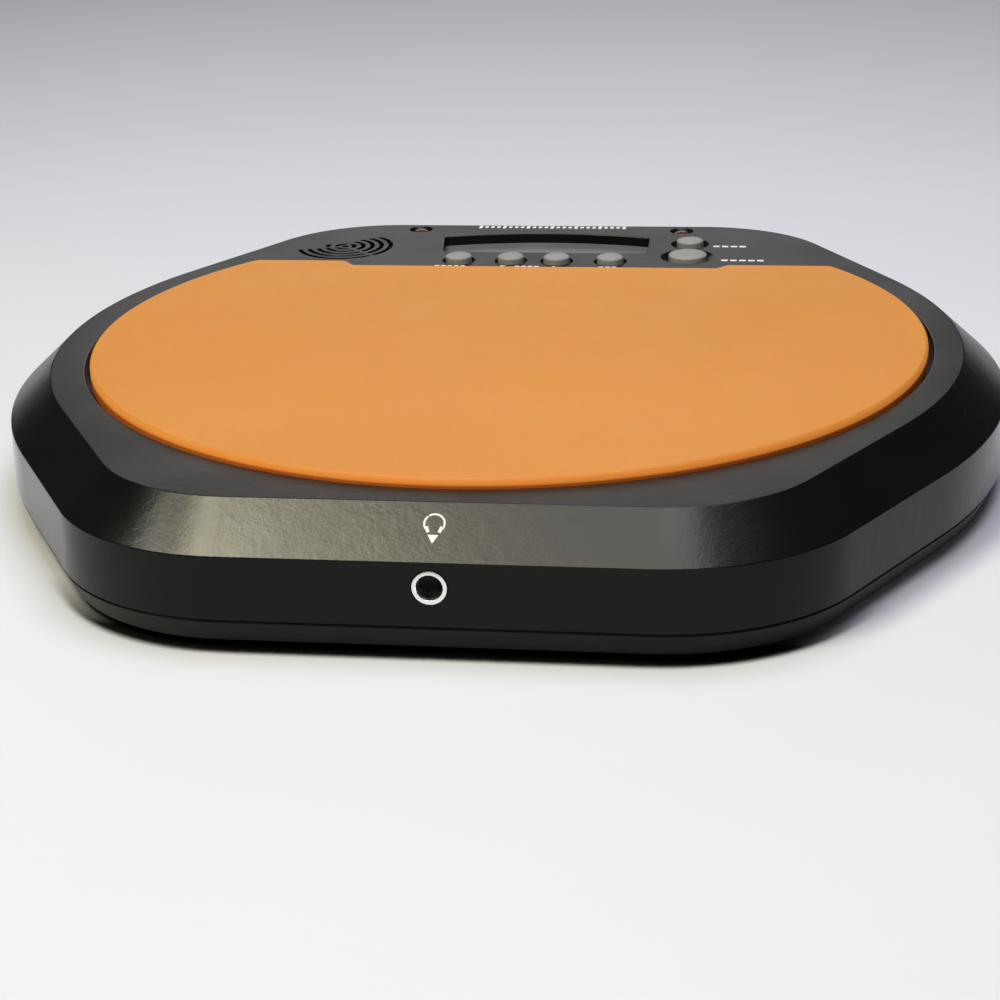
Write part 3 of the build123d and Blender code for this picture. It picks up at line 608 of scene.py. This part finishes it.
PLASTIC = case_plastic()
COVER = cover_plastic()
ORANGE = orange_rubber()
KEY_RUBBER = plain("key_rubber", (0.245, 0.245, 0.243), (0.295, 0.295, 0.292), 0.6, 300, bump=0.3)
BLACK_RUBBER = plain("black_rubber", (0.012, 0.012, 0.012), (0.02, 0.02, 0.02), 0.7, 90)
CHROME = plain("bright_nickel", (0.86, 0.86, 0.85), (0.92, 0.92, 0.91), 0.27, 200, 1.0, 0.05)
STEEL = plain("zinc_plate", (0.48, 0.48, 0.49), (0.62, 0.62, 0.62), 0.32, 150, 1.0, 0.15)
BRUSHED = plain("rolled_steel", (0.42, 0.42, 0.42), (0.52, 0.52, 0.52), 0.4, 300, 1.0, 0.3, stretch=(1, 0.05, 1))
BRASS = plain("brass", (0.68, 0.46, 0.18), (0.78, 0.55, 0.24), 0.3, 200, 1.0)
CERAMIC = plain("silvered_ceramic", (0.62, 0.61, 0.58), (0.75, 0.74, 0.71), 0.45, 250)
FERRITE = plain("ferrite", (0.035, 0.035, 0.038), (0.06, 0.06, 0.062), 0.6, 200, bump=0.5)
PAPER = plain("cone_paper", (0.02, 0.02, 0.02), (0.04, 0.04, 0.038), 0.85, 600, bump=0.6)
COPPER = stripes("copper_winding", (0.45, 0.16, 0.06), (0.75, 0.32, 0.14), 1200)
ZEBRA = stripes("zebra_strip", (0.05, 0.01, 0.012), (0.35, 0.10, 0.12), 600)
BOARD = plain("circuit_board", (0.010, 0.075, 0.028), (0.018, 0.11, 0.045), 0.35, 120)
CHIP = plain("chip_epoxy", (0.015, 0.015, 0.015), (0.03, 0.03, 0.03), 0.5, 400, bump=0.4)
NYLON = plain("natural_nylon", (0.62, 0.59, 0.50), (0.70, 0.67, 0.58), 0.5, 100)
WHITE_PLASTIC = plain("white_plastic", (0.68, 0.68, 0.66), (0.76, 0.76, 0.74), 0.45, 100)
FOAM = plain("foam_rubber", (0.02, 0.02, 0.02), (0.05, 0.05, 0.05), 0.95, 700, bump=1.0, fine=1500)
SILICONE = plain("grey_silicone", (0.19, 0.19, 0.185), (0.23, 0.23, 0.225), 0.5, 120)
CARBON = plain("carbon_rubber", (0.008, 0.008, 0.008), (0.014, 0.014, 0.014), 0.8, 500)
CELL = plain("cell_sleeve", (0.30, 0.03, 0.02), (0.38, 0.045, 0.03), 0.3, 40)
WIRE = plain("wire_sleeve", (0.35, 0.02, 0.015), (0.42, 0.03, 0.02), 0.45, 200)
BLACK_NYLON = plain("black_nylon", (0.010, 0.010, 0.010), (0.016, 0.016, 0.016), 0.5, 150)
WINDOW = window_plastic()
LCD = lcd_surface()
LAMP = lamp_plastic()
PAINT = plain("white_print", (0.74, 0.74, 0.72), (0.84, 0.84, 0.82), 0.5, 900, bump=0.3)


# ------------------------------------------------------------------ top housing
def lip(hole_offset, radius, bottom_z, steps=6):
    """Profile of a hole: a rounded lip at the panel's face, then a straight wall down."""
    out = []
    for step in range(steps + 1):
        t = step / steps * pi / 2
        out.append((hole_offset + radius - radius * sin(t), TOP_Z - radius + radius * cos(t)))
    out.append((hole_offset, bottom_z))
    return out


def dish(hole_radius, well_radius, depth, bottom_z):
    """Profile of a key's or lamp's hole: a softly rounded slope from the face into a straight hole."""
    slope = [
        (well_radius - hole_radius + 0.35, TOP_Z),
        (well_radius - hole_radius, TOP_Z),
        (0.0, TOP_Z - depth),
        (0.0, bottom_z),
    ]
    return rounded_profile(slope, [0.3, 0.3])


def build_top_housing():
    m = Mesh()
    case = case_path()
    outside = rounded_profile(
        [
            (-WALL, PARTING_Z + 0.2),
            (-WALL, PARTING_Z),
            (-0.4, PARTING_Z),
            (0, PARTING_Z + 0.4),
            (0, SHOULDER_Z),
            (-BEVEL_INSET, TOP_Z),
            (-BEVEL_INSET - 1.5, TOP_Z),
        ],
        [0, 0.1, 0.15, 0.7, 0.6],
        steps=6,
    )
    rings = [m.ring(case.at(offset), z) for offset, z in outside]
    for row, (low, high) in enumerate(zip(rings, rings[1:])):
        spans_jack = outside[row][1] < JACK_Z < outside[row + 1][1] and outside[row][0] == 0
        for i in range(len(low)):
            j = (i + 1) % len(low)
            if spans_jack and is_front_flat(case, i, j):
                front = (low[i], low[j], high[j], high[i])
                continue
            m.f.append((low[i], low[j], high[j], high[i]))
    wall_with_hole(m, front)
    top_holes, under_holes = [], []

    def hole(path, profile):
        first, last = m.sweep(path, profile, flip=True)
        top_holes.append(first)
        under_holes.append(last)

    well = pad_path()
    first, last = m.sweep(well, lip(PAD_GAP, 0.8, WELL_FLOOR_Z), flip=True)
    top_holes.append(first)
    m.plate(last, [])
    well_outside = PAD_GAP + WALL
    outer_well, well_floor = m.sweep(well, [(well_outside, PANEL_UNDER_Z), (well_outside, WELL_FLOOR_Z - WALL)])
    m.plate(well_floor, [], up=False)
    under_holes.append(outer_well)

    lens = lens_path()
    seat_z = LENS_FACE_Z - LENS_THICKNESS
    first, seat = m.sweep(lens, lip(0, 0.35, seat_z), flip=True)
    top_holes.append(first)
    opening = rounded_path([(-29, 105), (29, 105), (29, 120), (-29, 120)], [1, 1, 1, 1])
    rim, rim_low = m.sweep(opening, [(0, seat_z), (0, seat_z - LENS_LEDGE)], flip=True)
    m.plate(seat, [rim])
    outer_seat, seat_floor = m.sweep(lens, [(WALL, PANEL_UNDER_Z), (WALL, seat_z - LENS_LEDGE)])
    m.plate(seat_floor, [rim_low], up=False)
    under_holes.append(outer_seat)

    for x, y, cap_radius, _, well_radius in KEYS.values():
        hole_radius = cap_radius + KEY_CLEARANCE
        depth = min(1.5, (well_radius - hole_radius) * 0.9)
        hole(circle_path((x, y), hole_radius), dish(hole_radius, well_radius, depth, PANEL_UNDER_Z))
    for x, y in LAMPS.values():
        hole(circle_path((x, y), LAMP_HOLE_RADIUS), dish(LAMP_HOLE_RADIUS, LAMP_DISH_RADIUS, 0.7, PANEL_UNDER_Z))
    for path in grille_paths():
        hole(path, lip(0, 0.3, PANEL_UNDER_Z, steps=3))
    m.plate(rings[-1], top_holes)

    # the inside of the shell
    inner = [
        (-WALL, PARTING_Z + 0.2),
        (-WALL, SHOULDER_Z - 1.0),
        (-BEVEL_INSET - 1.0, PANEL_UNDER_Z),
    ]
    inner_rings = [m.ring(case.at(offset), z) for offset, z in inner]
    for low, high in zip(inner_rings, inner_rings[1:]):
        m.band(low, high, flip=True)
    m.plate(inner_rings[-1], under_holes, up=False)
    stand_in(m.object("top_shell", PLASTIC, smooth=50), "case", "top_housing")


def is_front_flat(path, i, j):
    """Whether the stretch between two points of the path is the flat front wall."""
    return abs(path.p[i][1] + APOTHEM) < 1e-6 and abs(path.p[j][1] + APOTHEM) < 1e-6


def wall_with_hole(m, corners):
    """Fills the flat front wall, leaving a round hole for the jack's sleeve with a short inner wall."""
    hole_radius = SLEEVE_RADIUS + 0.15
    steps = 64
    y = m.v[corners[0]][1]
    flat = Mesh()
    flat.v = [(m.v[i][0], m.v[i][2], 0) for i in corners]
    rim = flat.ring(circle_path((0, JACK_Z), hole_radius + 0.15, steps).p, 0)
    flat.plate([0, 1, 2, 3], [rim])
    start = len(m.v)
    m.v += [(x, y, z) for x, z, _ in flat.v[4:]]
    where = list(corners) + list(range(start, len(m.v)))
    m.f += [tuple(where[i] for i in face) for face in flat.f]
    outer = [where[i] for i in rim]
    circle = circle_path((0, JACK_Z), hole_radius, steps).p
    for depth in (0.15, WALL):
        inner = list(range(len(m.v), len(m.v) + steps))
        m.v += [(x, y + depth, z) for x, z in circle]
        m.band(inner, outer, flip=True)
        outer = inner


build_top_housing()


# ------------------------------------------------------------------ bottom cover
def build_bottom_cover():
    m = Mesh()
    case = case_path()
    top = PARTING_Z - 0.05
    skirt = rounded_profile(
        [
            (-6.5, COVER_UNDER_Z),
            (-COVER_LEAN, COVER_UNDER_Z),
            (-0.25, top - 0.5),
            (-0.6, top),
            (-2.65, top),
            (-2.65, top + 1.5),
            (-3.85, top + 1.5),
            (-3.85, COVER_INNER_Z),
        ],
        [0.6, 0.15, 0.1, 0, 0, 0],
        steps=4,
    )
    first, last = m.sweep(case, skirt)
    under, over = [], []
    for x, y in FEET:
        recess = [(0, COVER_UNDER_Z), (0, COVER_UNDER_Z + 0.4)]
        rim, seat = m.sweep(circle_path((x, y), FOOT_SEAT_RADIUS, 40), recess)
        m.plate(seat, [], up=False)
        under.append(rim)
    for x, y in SCREWS:
        recess = [(0.2, COVER_UNDER_Z), (0, COVER_UNDER_Z + 0.2), (0, COVER_UNDER_Z + 3.0)]
        rim, seat = m.sweep(circle_path((x, y), SCREW_SEAT_RADIUS, 32), recess)
        m.plate(seat, [], up=False)
        under.append(rim)
    door_low, door_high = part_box("battery_door")
    front, back = door_low.y / MM - DOOR_CLEARANCE, door_high.y / MM + DOOR_CLEARANCE
    corners = [(-DOOR_HALF_X, front), (DOOR_HALF_X, front), (DOOR_HALF_X, back), (-DOOR_HALF_X, back)]
    sides = [(0.2, COVER_UNDER_Z), (0, COVER_UNDER_Z + 0.2), (0, COVER_INNER_Z), (0, BAY_CEILING_Z)]
    rim, high = m.sweep(rounded_path(corners, [0.5] * 4), sides)
    m.plate(high, [], up=False)
    under.append(rim)
    m.plate(first, under, up=False)
    bay = rounded_path([(-27, 0.5), (27, 0.5), (27, 39.5), (-27, 39.5)], [1] * 4)
    low, roof = m.sweep(bay, [(0, COVER_INNER_Z), (0, BAY_CEILING_Z + BAY_WALL)])
    m.plate(roof, [])
    m.plate(last, [low])
    stand_in(m.object("bottom_shell", COVER, smooth=50), "case", "bottom_cover")


build_bottom_cover()


# ------------------------------------------------------------------ striking pad
def build_pad():
    m = Mesh()
    path = pad_path()
    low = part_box("rubber_pad")[0].z / MM
    edge = rounded_profile(
        [(-1.0, low), (0, low), (0, PAD_TOP_Z), (-2.3, PAD_TOP_Z)],
        [0.4, 1.3],
        steps=12,
    )
    first, last = m.sweep(path, edge)
    m.plate(first, [], up=False)
    m.plate(last, [])
    stand_in(m.object("strike_rubber", ORANGE, smooth=50), "strike_surface", "rubber_pad")


build_pad()


# ------------------------------------------------------------------ soft parts
def pressed(obj, cad_node):
    """A soft piece that rides on the case in place of its CAD node, with a mesh of its own."""
    stand_in(obj, "case", cad_node)
    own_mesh(obj)


def build_foam_ring():
    m = Mesh()
    low, high = (corner.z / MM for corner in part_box("foam_ring"))
    rims = []
    for inset, side in ((FOAM_OUTER_INSET, 1), (FOAM_INNER_INSET, -1)):
        wall = [
            (-0.3 * side, low), (0, low + 0.5), (0.15 * side, (low + high) / 2),
            (0, high - 0.5), (-0.3 * side, high),
        ]
        rims.append(m.sweep(pad_path(inset), wall, flip=side < 0))
    m.plate(rims[0][0], [rims[1][0]], up=False)
    m.plate(rims[0][1], [rims[1][1]])
    pressed(m.object("foam_cushion", FOAM), "foam_ring")


def build_key_mat():
    """The keypad's rubber sheet, and on it one soft dome under each key."""
    low, high = (corner.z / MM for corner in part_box("key_mat"))
    sheet_top, web = low + 0.8, 1.2
    m = Mesh()
    corners = [
        (-35, 83.8), (51.2, 83.8), (51.2, 88.2), (59, 88.2), (59, 120.2), (41.5, 120.2), (41.5, 96.6), (-35, 96.6),
    ]
    outline = rounded_path(corners, [1.0] * len(corners))
    base, face = m.sweep(outline, [(0, low), (0, sheet_top - 0.2), (-0.2, sheet_top)])
    holes = [
        m.sweep(circle_path((x, y), radius + 0.62, 48), [(0, low), (0, sheet_top)], flip=True)
        for x, y, radius, _, _ in KEYS.values()
    ]
    m.plate(base, [first for first, _ in holes], up=False)
    m.plate(face, [last for _, last in holes])
    stand_in(m.object("key_sheet", SILICONE), "case", "key_mat")
    for key, (x, y, radius, _, _) in KEYS.items():
        shell = [
            (0, high - web), (radius - 1.5, high - web), (radius - 0.9, high - web - 0.7),
            (radius + 0.1, low), (radius + 0.6, low), (radius + 0.6, sheet_top),
            (radius + 0.1, sheet_top + 0.3), (radius - 0.5, high - 0.9),
            (radius - 0.8, high - 0.25), (radius - 1.1, high), (0, high),
        ]
        dome = lathe(f"{key}_dome", SILICONE, shell, (x, y), 48)
        pressed(dome, "key_mat")


def build_surround():
    """The speaker's rubber surround: a thin half roll between the cone and the basket."""
    low, high = (corner.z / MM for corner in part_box("speaker_surround"))
    middle, reach, thick = 13.9, 1.2, 0.4
    roll = np.linspace(pi, 0, 13)
    over = [(middle + reach * cos(t), low + thick + (high - low - thick) * sin(t)) for t in roll]
    under = [(middle + (reach - 0.25) * cos(t), low + (high - low - thick) * sin(t)) for t in roll[::-1]]
    surround = lathe("surround_roll", BLACK_RUBBER, over + under + over[:1], SPEAKER, 64)
    pressed(surround, "speaker_surround")


build_foam_ring()
build_key_mat()
build_surround()

# ------------------------------------------------------------------ keys, lamps and jack
for key, (x, y, radius, proud, _) in KEYS.items():
    top = TOP_Z + proud
    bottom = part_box(f"{key}_key")[0].z / MM
    flange = PANEL_UNDER_Z - 0.1
    side = [
        (radius - 0.2, bottom), (radius, bottom + 0.2), (radius, flange - 1.2), (radius + 1.2, flange - 1.2),
        (radius + 1.2, flange), (radius, flange), (radius, top - 1.2),
    ]
    dome = []
    for step in range(1, 13):
        t = step / 12 * pi / 2
        dome.append((radius * (0.72 + 0.28 * cos(t)), top - 1.2 + 0.85 * sin(t)))
    for step in range(1, 7):
        share = 1 - step / 6
        dome.append((radius * 0.72 * share, top - 0.35 * share**2))
    dome[-1] = (0, top)
    cap = lathe(f"{key}_cap", KEY_RUBBER, [(0, bottom)] + side + dome, (x, y), 64, smooth=50)
    stand_in(cap, f"{key}_button", f"{key}_key")

for name, (x, y) in LAMPS.items():
    dome_z, dome_height = 36.0, 1.75
    body = [
        (0, 30.6), (2.9, 30.6), (2.9, 31.6), (2.5, 31.6), (2.5, 34.6), (LAMP_RADIUS, 35.2), (LAMP_RADIUS, dome_z),
    ]
    turns = np.linspace(0.12, pi / 2 - 0.1, 12)
    tip = [(LAMP_RADIUS * cos(t), dome_z + dome_height * sin(t)) for t in turns] + [(0, dome_z + dome_height)]
    stand_in(lathe(f"{name}_dome", LAMP, body + tip, (x, y), 48), "case", name)


def build_window():
    """The display's window, a flat plate with a softened rim."""
    m = Mesh()
    seat_z = LENS_FACE_Z - LENS_THICKNESS
    rim = [(-0.1, seat_z + 0.02), (-0.1, LENS_FACE_Z - 0.15), (-0.25, LENS_FACE_Z)]
    low, high = m.sweep(lens_path(), rim)
    m.plate(low, [], up=False)
    m.plate(high, [])
    stand_in(m.object("display_lens", WINDOW), "case", "display_window")


build_window()


def build_sleeve():
    """The jack's sleeve: a bright ring with a rounded rim, lying along the Y axis."""
    front, back = 0.4, -10.6
    profile = [
        (SLEEVE_BORE, back), (SLEEVE_BORE, front - 1.4), (3.3, front - 0.4), (3.4, front - 0.1), (3.48, front),
        (4.36, front), (4.46, front - 0.05), (SLEEVE_RADIUS, front - 0.18), (SLEEVE_RADIUS, back), (SLEEVE_BORE, back),
    ]
    turn = Matrix.Translation((0, -APOTHEM * MM, JACK_Z * MM)) @ Matrix.Rotation(radians(90), 4, "X")
    sleeve = lathe("jack_ring", CHROME, profile, (0, 0), 96, turn, smooth=35)
    stand_in(sleeve, "case", "jack_sleeve")


build_sleeve()

# ------------------------------------------------------------------ white print
PRINT_LIFT = 0.02
PRINT_THICKNESS = 0.03


def print_marks(name, shapes, matrix):
    """Flat printed shapes, each a closed run of (x, y) points, laid on a surface by a matrix."""
    m = Mesh()
    for shape in shapes:
        count = len(shape)
        low = m.ring(shape, PRINT_LIFT)
        high = m.ring(shape, PRINT_LIFT + PRINT_THICKNESS)
        m.f.append(tuple(low[::-1]))
        m.f.append(tuple(high))
        m.band(low, high)
    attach(m.object(name, PAINT, matrix), "case")


def bar(x, y, width, height, tilt=0):
    c, s = cos(radians(tilt)), sin(radians(tilt))
    corners = [(-width, -height), (width, -height), (width, height), (-width, height)]
    return [(x + (c * a - s * b) / 2, y + (s * a + c * b) / 2) for a, b in corners]


def thick_arc(x, y, radius, width, start, end, steps=20):
    """Quads along an arc."""
    out = []
    angles = np.linspace(radians(start), radians(end), steps + 1)
    for a, b in zip(angles, angles[1:]):
        out.append([
            (x + (radius - width / 2) * cos(a), y + (radius - width / 2) * sin(a)),
            (x + (radius + width / 2) * cos(a), y + (radius + width / 2) * sin(a)),
            (x + (radius + width / 2) * cos(b), y + (radius + width / 2) * sin(b)),
            (x + (radius - width / 2) * cos(b), y + (radius - width / 2) * sin(b)),
        ])
    return out


def triangle(x, y, size, up):
    s = size if up else -size
    points = [(x - size * 0.58, y - s / 2), (x + size * 0.58, y - s / 2), (x, y + s / 2)]
    return points if up else points[::-1]


def headphone_marks():
    """A headphone symbol over a small arrow that points at the socket."""
    marks = thick_arc(0, 0, 2.6, 0.5, -38, 218)
    for side in (-1, 1):
        marks.append(bar(side * 1.7, -1.65, 0.8, 1.7, side * -18))
    marks.append(triangle(-0.1, -4.35, 2.4, up=False))
    return marks


bevel_angle = atan2(TOP_Z - SHOULDER_Z, BEVEL_INSET)
up_bevel = 11.0
headphone_place = (0.5, -APOTHEM + up_bevel * cos(bevel_angle), SHOULDER_Z + up_bevel * sin(bevel_angle))
bevel_frame = Matrix.Translation(Vector(headphone_place) * MM) @ Matrix.Rotation(bevel_angle, 4, "X")
print_marks("headphone_print", headphone_marks(), bevel_frame)

# plain bars and triangles stand in for the words printed beside the keys
panel_frame = Matrix.Translation((0, 0, TOP_Z * MM))
row_y, row_pitch, row_bar, row_arrow = 82.6, 2.2, 1.5, 1.9
row_marks = [bar(-34 + row_pitch * i, row_y, row_bar, row_bar) for i in range(5)]
row_marks += [triangle(-11.5, row_y, row_arrow, up=False)]
row_marks += [bar(-6.5 + row_pitch * i, row_y, row_bar, row_bar) for i in range(4)]
row_marks += [triangle(6.0, row_y, row_arrow, up=True)]
row_marks += [bar(22 + row_pitch * i, row_y, row_bar, row_bar) for i in range(3)]
print_marks("key_row_print", row_marks, panel_frame)
side_marks = [bar(59.5 + 3.0 * i, 110.5, 2.2, 1.8) for i in range(4)]
side_marks += [bar(63.0 + 3.0 * i, 92.5, 2.2, 1.8) for i in range(5)]
print_marks("side_key_print", side_marks, panel_frame)
scale_marks = [bar(-26 + 2.15 * i, 135.0, 1.2, 3.6 if i % 4 == 0 else 2.4) for i in range(25)]
print_marks("beat_scale_print", scale_marks, panel_frame)

# ------------------------------------------------------------------ CAD nodes that are shown as they are
SHOWN_AS_IS = {
    "battery_door": COVER,
    "rubber_feet": BLACK_RUBBER,
    "housing_screws": STEEL,
    "board_screws": STEEL,
    "jack_board_screws": STEEL,
    "speaker_clamps": STEEL,
    "striking_plate": BRUSHED,
    "piezo_brass": BRASS,
    "piezo_ceramic": CERAMIC,
    "lcd_glass": LCD,
    "lcd_frame": WHITE_PLASTIC,
    "zebra_strips": ZEBRA,
    "main_board": BOARD,
    "jack_board": BOARD,
    "board_chips": CHIP,
    "wire_sockets": NYLON,
    "speaker_basket": STEEL,
    "pole_piece": STEEL,
    "speaker_magnet": FERRITE,
    "speaker_cone": PAPER,
    "voice_coil": COPPER,
    "jack_body": BLACK_NYLON,
    "jack_contacts": CHROME,
    "battery_springs": CHROME,
    "battery_plates": CHROME,
    "battery_cells": CELL,
    "piezo_wires": WIRE,
    "speaker_wires": WIRE,
    "battery_wires": WIRE,
    "jack_wires": WIRE,
}
SHOWN_AS_IS.update({f"{key}_pill": CARBON for key in KEYS})
for name, material in SHOWN_AS_IS.items():
    data = nodes[name].data
    data.materials.clear()
    data.materials.append(material)


# ------------------------------------------------------------------ floor, light and camera
FLOOR_REACH = 3.0
SHADOW_REACH = 0.010
SHADOW_DARK, SHADOW_CLEAR = 0.52, 0.64  # how open the floor is where the contact shadow is full, and where it ends
SHADOW_FRONT_Y, SHADOW_BACK_Y = -0.135, -0.105  # the contact shadow fades out between these
# name: place, target, size, power, colour
LIGHTS = {
    "overhead": ((0.10, 0.08, 1.3), (0, 0, 0), (1.1, 0.8), 10.4, (0.92, 0.96, 1.10)),
    "warm_card": ((-0.47, -0.56, 1.2), (-0.08, -0.14, 0.03), (0.40, 0.34), 11.0, (1, 0.94, 0.68)),
    "left_card": ((-0.98, -0.56, 1.2), (-0.08, -0.14, 0.03), (0.62, 0.34), 8.0, (1, 0.96, 0.78)),
    "front_card": ((0.09, -0.57, 1.2), (0.08, -0.14, 0.03), (0.64, 0.34), 3.8, (1, 0.96, 0.84)),
    "back_card": ((-0.45, 3.2, 1.1), (0, 0, 0.04), (1.7, 1.0), 6.2, (1, 1, 1)),
    "front_fill": ((0.3, -1.9, 0.75), (0, 0, 0.03), (1.8, 0.8), 3.6, (1, 1, 1)),
}
REFLECTED_ONLY = {"left_card"}
CAMERA_PLACE = (0.09319, -0.68028, 0.25074)
CAMERA_YAW, CAMERA_PITCH, CAMERA_ROLL = radians(-9.43), radians(-19.36), radians(-2.01)
CAMERA_LENS = 84.54
CAMERA_SHIFT = (0.0560, -0.0716)


def build_stage():
    """A plain pale floor, with a dark contact shadow painted into its colour close under the case's front."""
    floor = Shader("floor", (0.70, 0.71, 0.775), 0.6, specular=0.2)
    pale = floor.vary_colour(floor.noise(3, 3), (0.695, 0.705, 0.77), (0.71, 0.72, 0.785))
    near = floor.node("ShaderNodeAmbientOcclusion", Distance=SHADOW_REACH, samples=32)
    open_floor = floor.ramp(near.outputs["AO"], 0, 1, SHADOW_DARK, SHADOW_CLEAR)
    seen = floor.node("ShaderNodeLightPath").outputs["Is Camera Ray"]
    apart = floor.node("ShaderNodeSeparateXYZ")
    floor.link(floor.place, apart.inputs[0])
    behind = floor.ramp(apart.outputs["Y"], 0, 1, SHADOW_FRONT_Y, SHADOW_BACK_Y)
    shade = floor.math("MAXIMUM", open_floor, floor.math("SUBTRACT", 1.0, seen))
    shade = floor.math("MAXIMUM", shade, behind)
    # painted shadow: seen from the camera, the floor's colour goes to black where it is closed in by the case's front
    floor.link(floor.mix_colour(shade, (0.0, 0.0, 0.0), pale), floor.bsdf.inputs["Base Color"])
    corners = [(x * FLOOR_REACH, y * FLOOR_REACH, 0) for x, y in ((-1, -1), (1, -1), (1, 1), (-1, 1))]
    mesh = bpy.data.meshes.new("floor")
    mesh.from_pydata(corners, [], [(0, 1, 2, 3)])
    obj = bpy.data.objects.new("floor", mesh)
    scene.collection.objects.link(obj)
    mesh.materials.append(floor.material)


def area_light(name, place, target, size, power, colour):
    data = bpy.data.lights.new(name, "AREA")
    data.shape = "RECTANGLE"
    data.size, data.size_y = size
    data.energy = power
    data.color = colour
    obj = bpy.data.objects.new(name, data)
    obj.location = place
    obj.rotation_euler = (Vector(target) - Vector(place)).to_track_quat("-Z", "Y").to_euler()
    scene.collection.objects.link(obj)
    return obj


def build_lights():
    world = bpy.data.worlds.new("studio")
    world.use_nodes = True
    background = world.node_tree.nodes["Background"]
    background.inputs["Color"].default_value = (0.95, 0.97, 1.0, 1)
    background.inputs["Strength"].default_value = 0.02
    scene.world = world
    for name, values in LIGHTS.items():
        area_light(name, *values).visible_diffuse = name not in REFLECTED_ONLY


def build_camera():
    yaw, pitch, roll = CAMERA_YAW, CAMERA_PITCH, CAMERA_ROLL
    forward = Vector((sin(yaw) * cos(pitch), cos(yaw) * cos(pitch), sin(pitch)))
    level = Vector((cos(yaw), -sin(yaw), 0))
    lift = level.cross(forward)
    right = cos(roll) * level + sin(roll) * lift
    up = -sin(roll) * level + cos(roll) * lift
    data = bpy.data.cameras.new("camera")
    data.sensor_width = 36
    data.lens = CAMERA_LENS
    data.shift_x, data.shift_y = CAMERA_SHIFT
    obj = bpy.data.objects.new("camera", data)
    turn = Matrix((right, up, -forward)).transposed()
    obj.matrix_world = Matrix.Translation(CAMERA_PLACE) @ turn.to_4x4()
    scene.collection.objects.link(obj)
    scene.camera = obj


build_stage()
build_lights()
build_camera()
scene.view_settings.view_transform = "Standard"
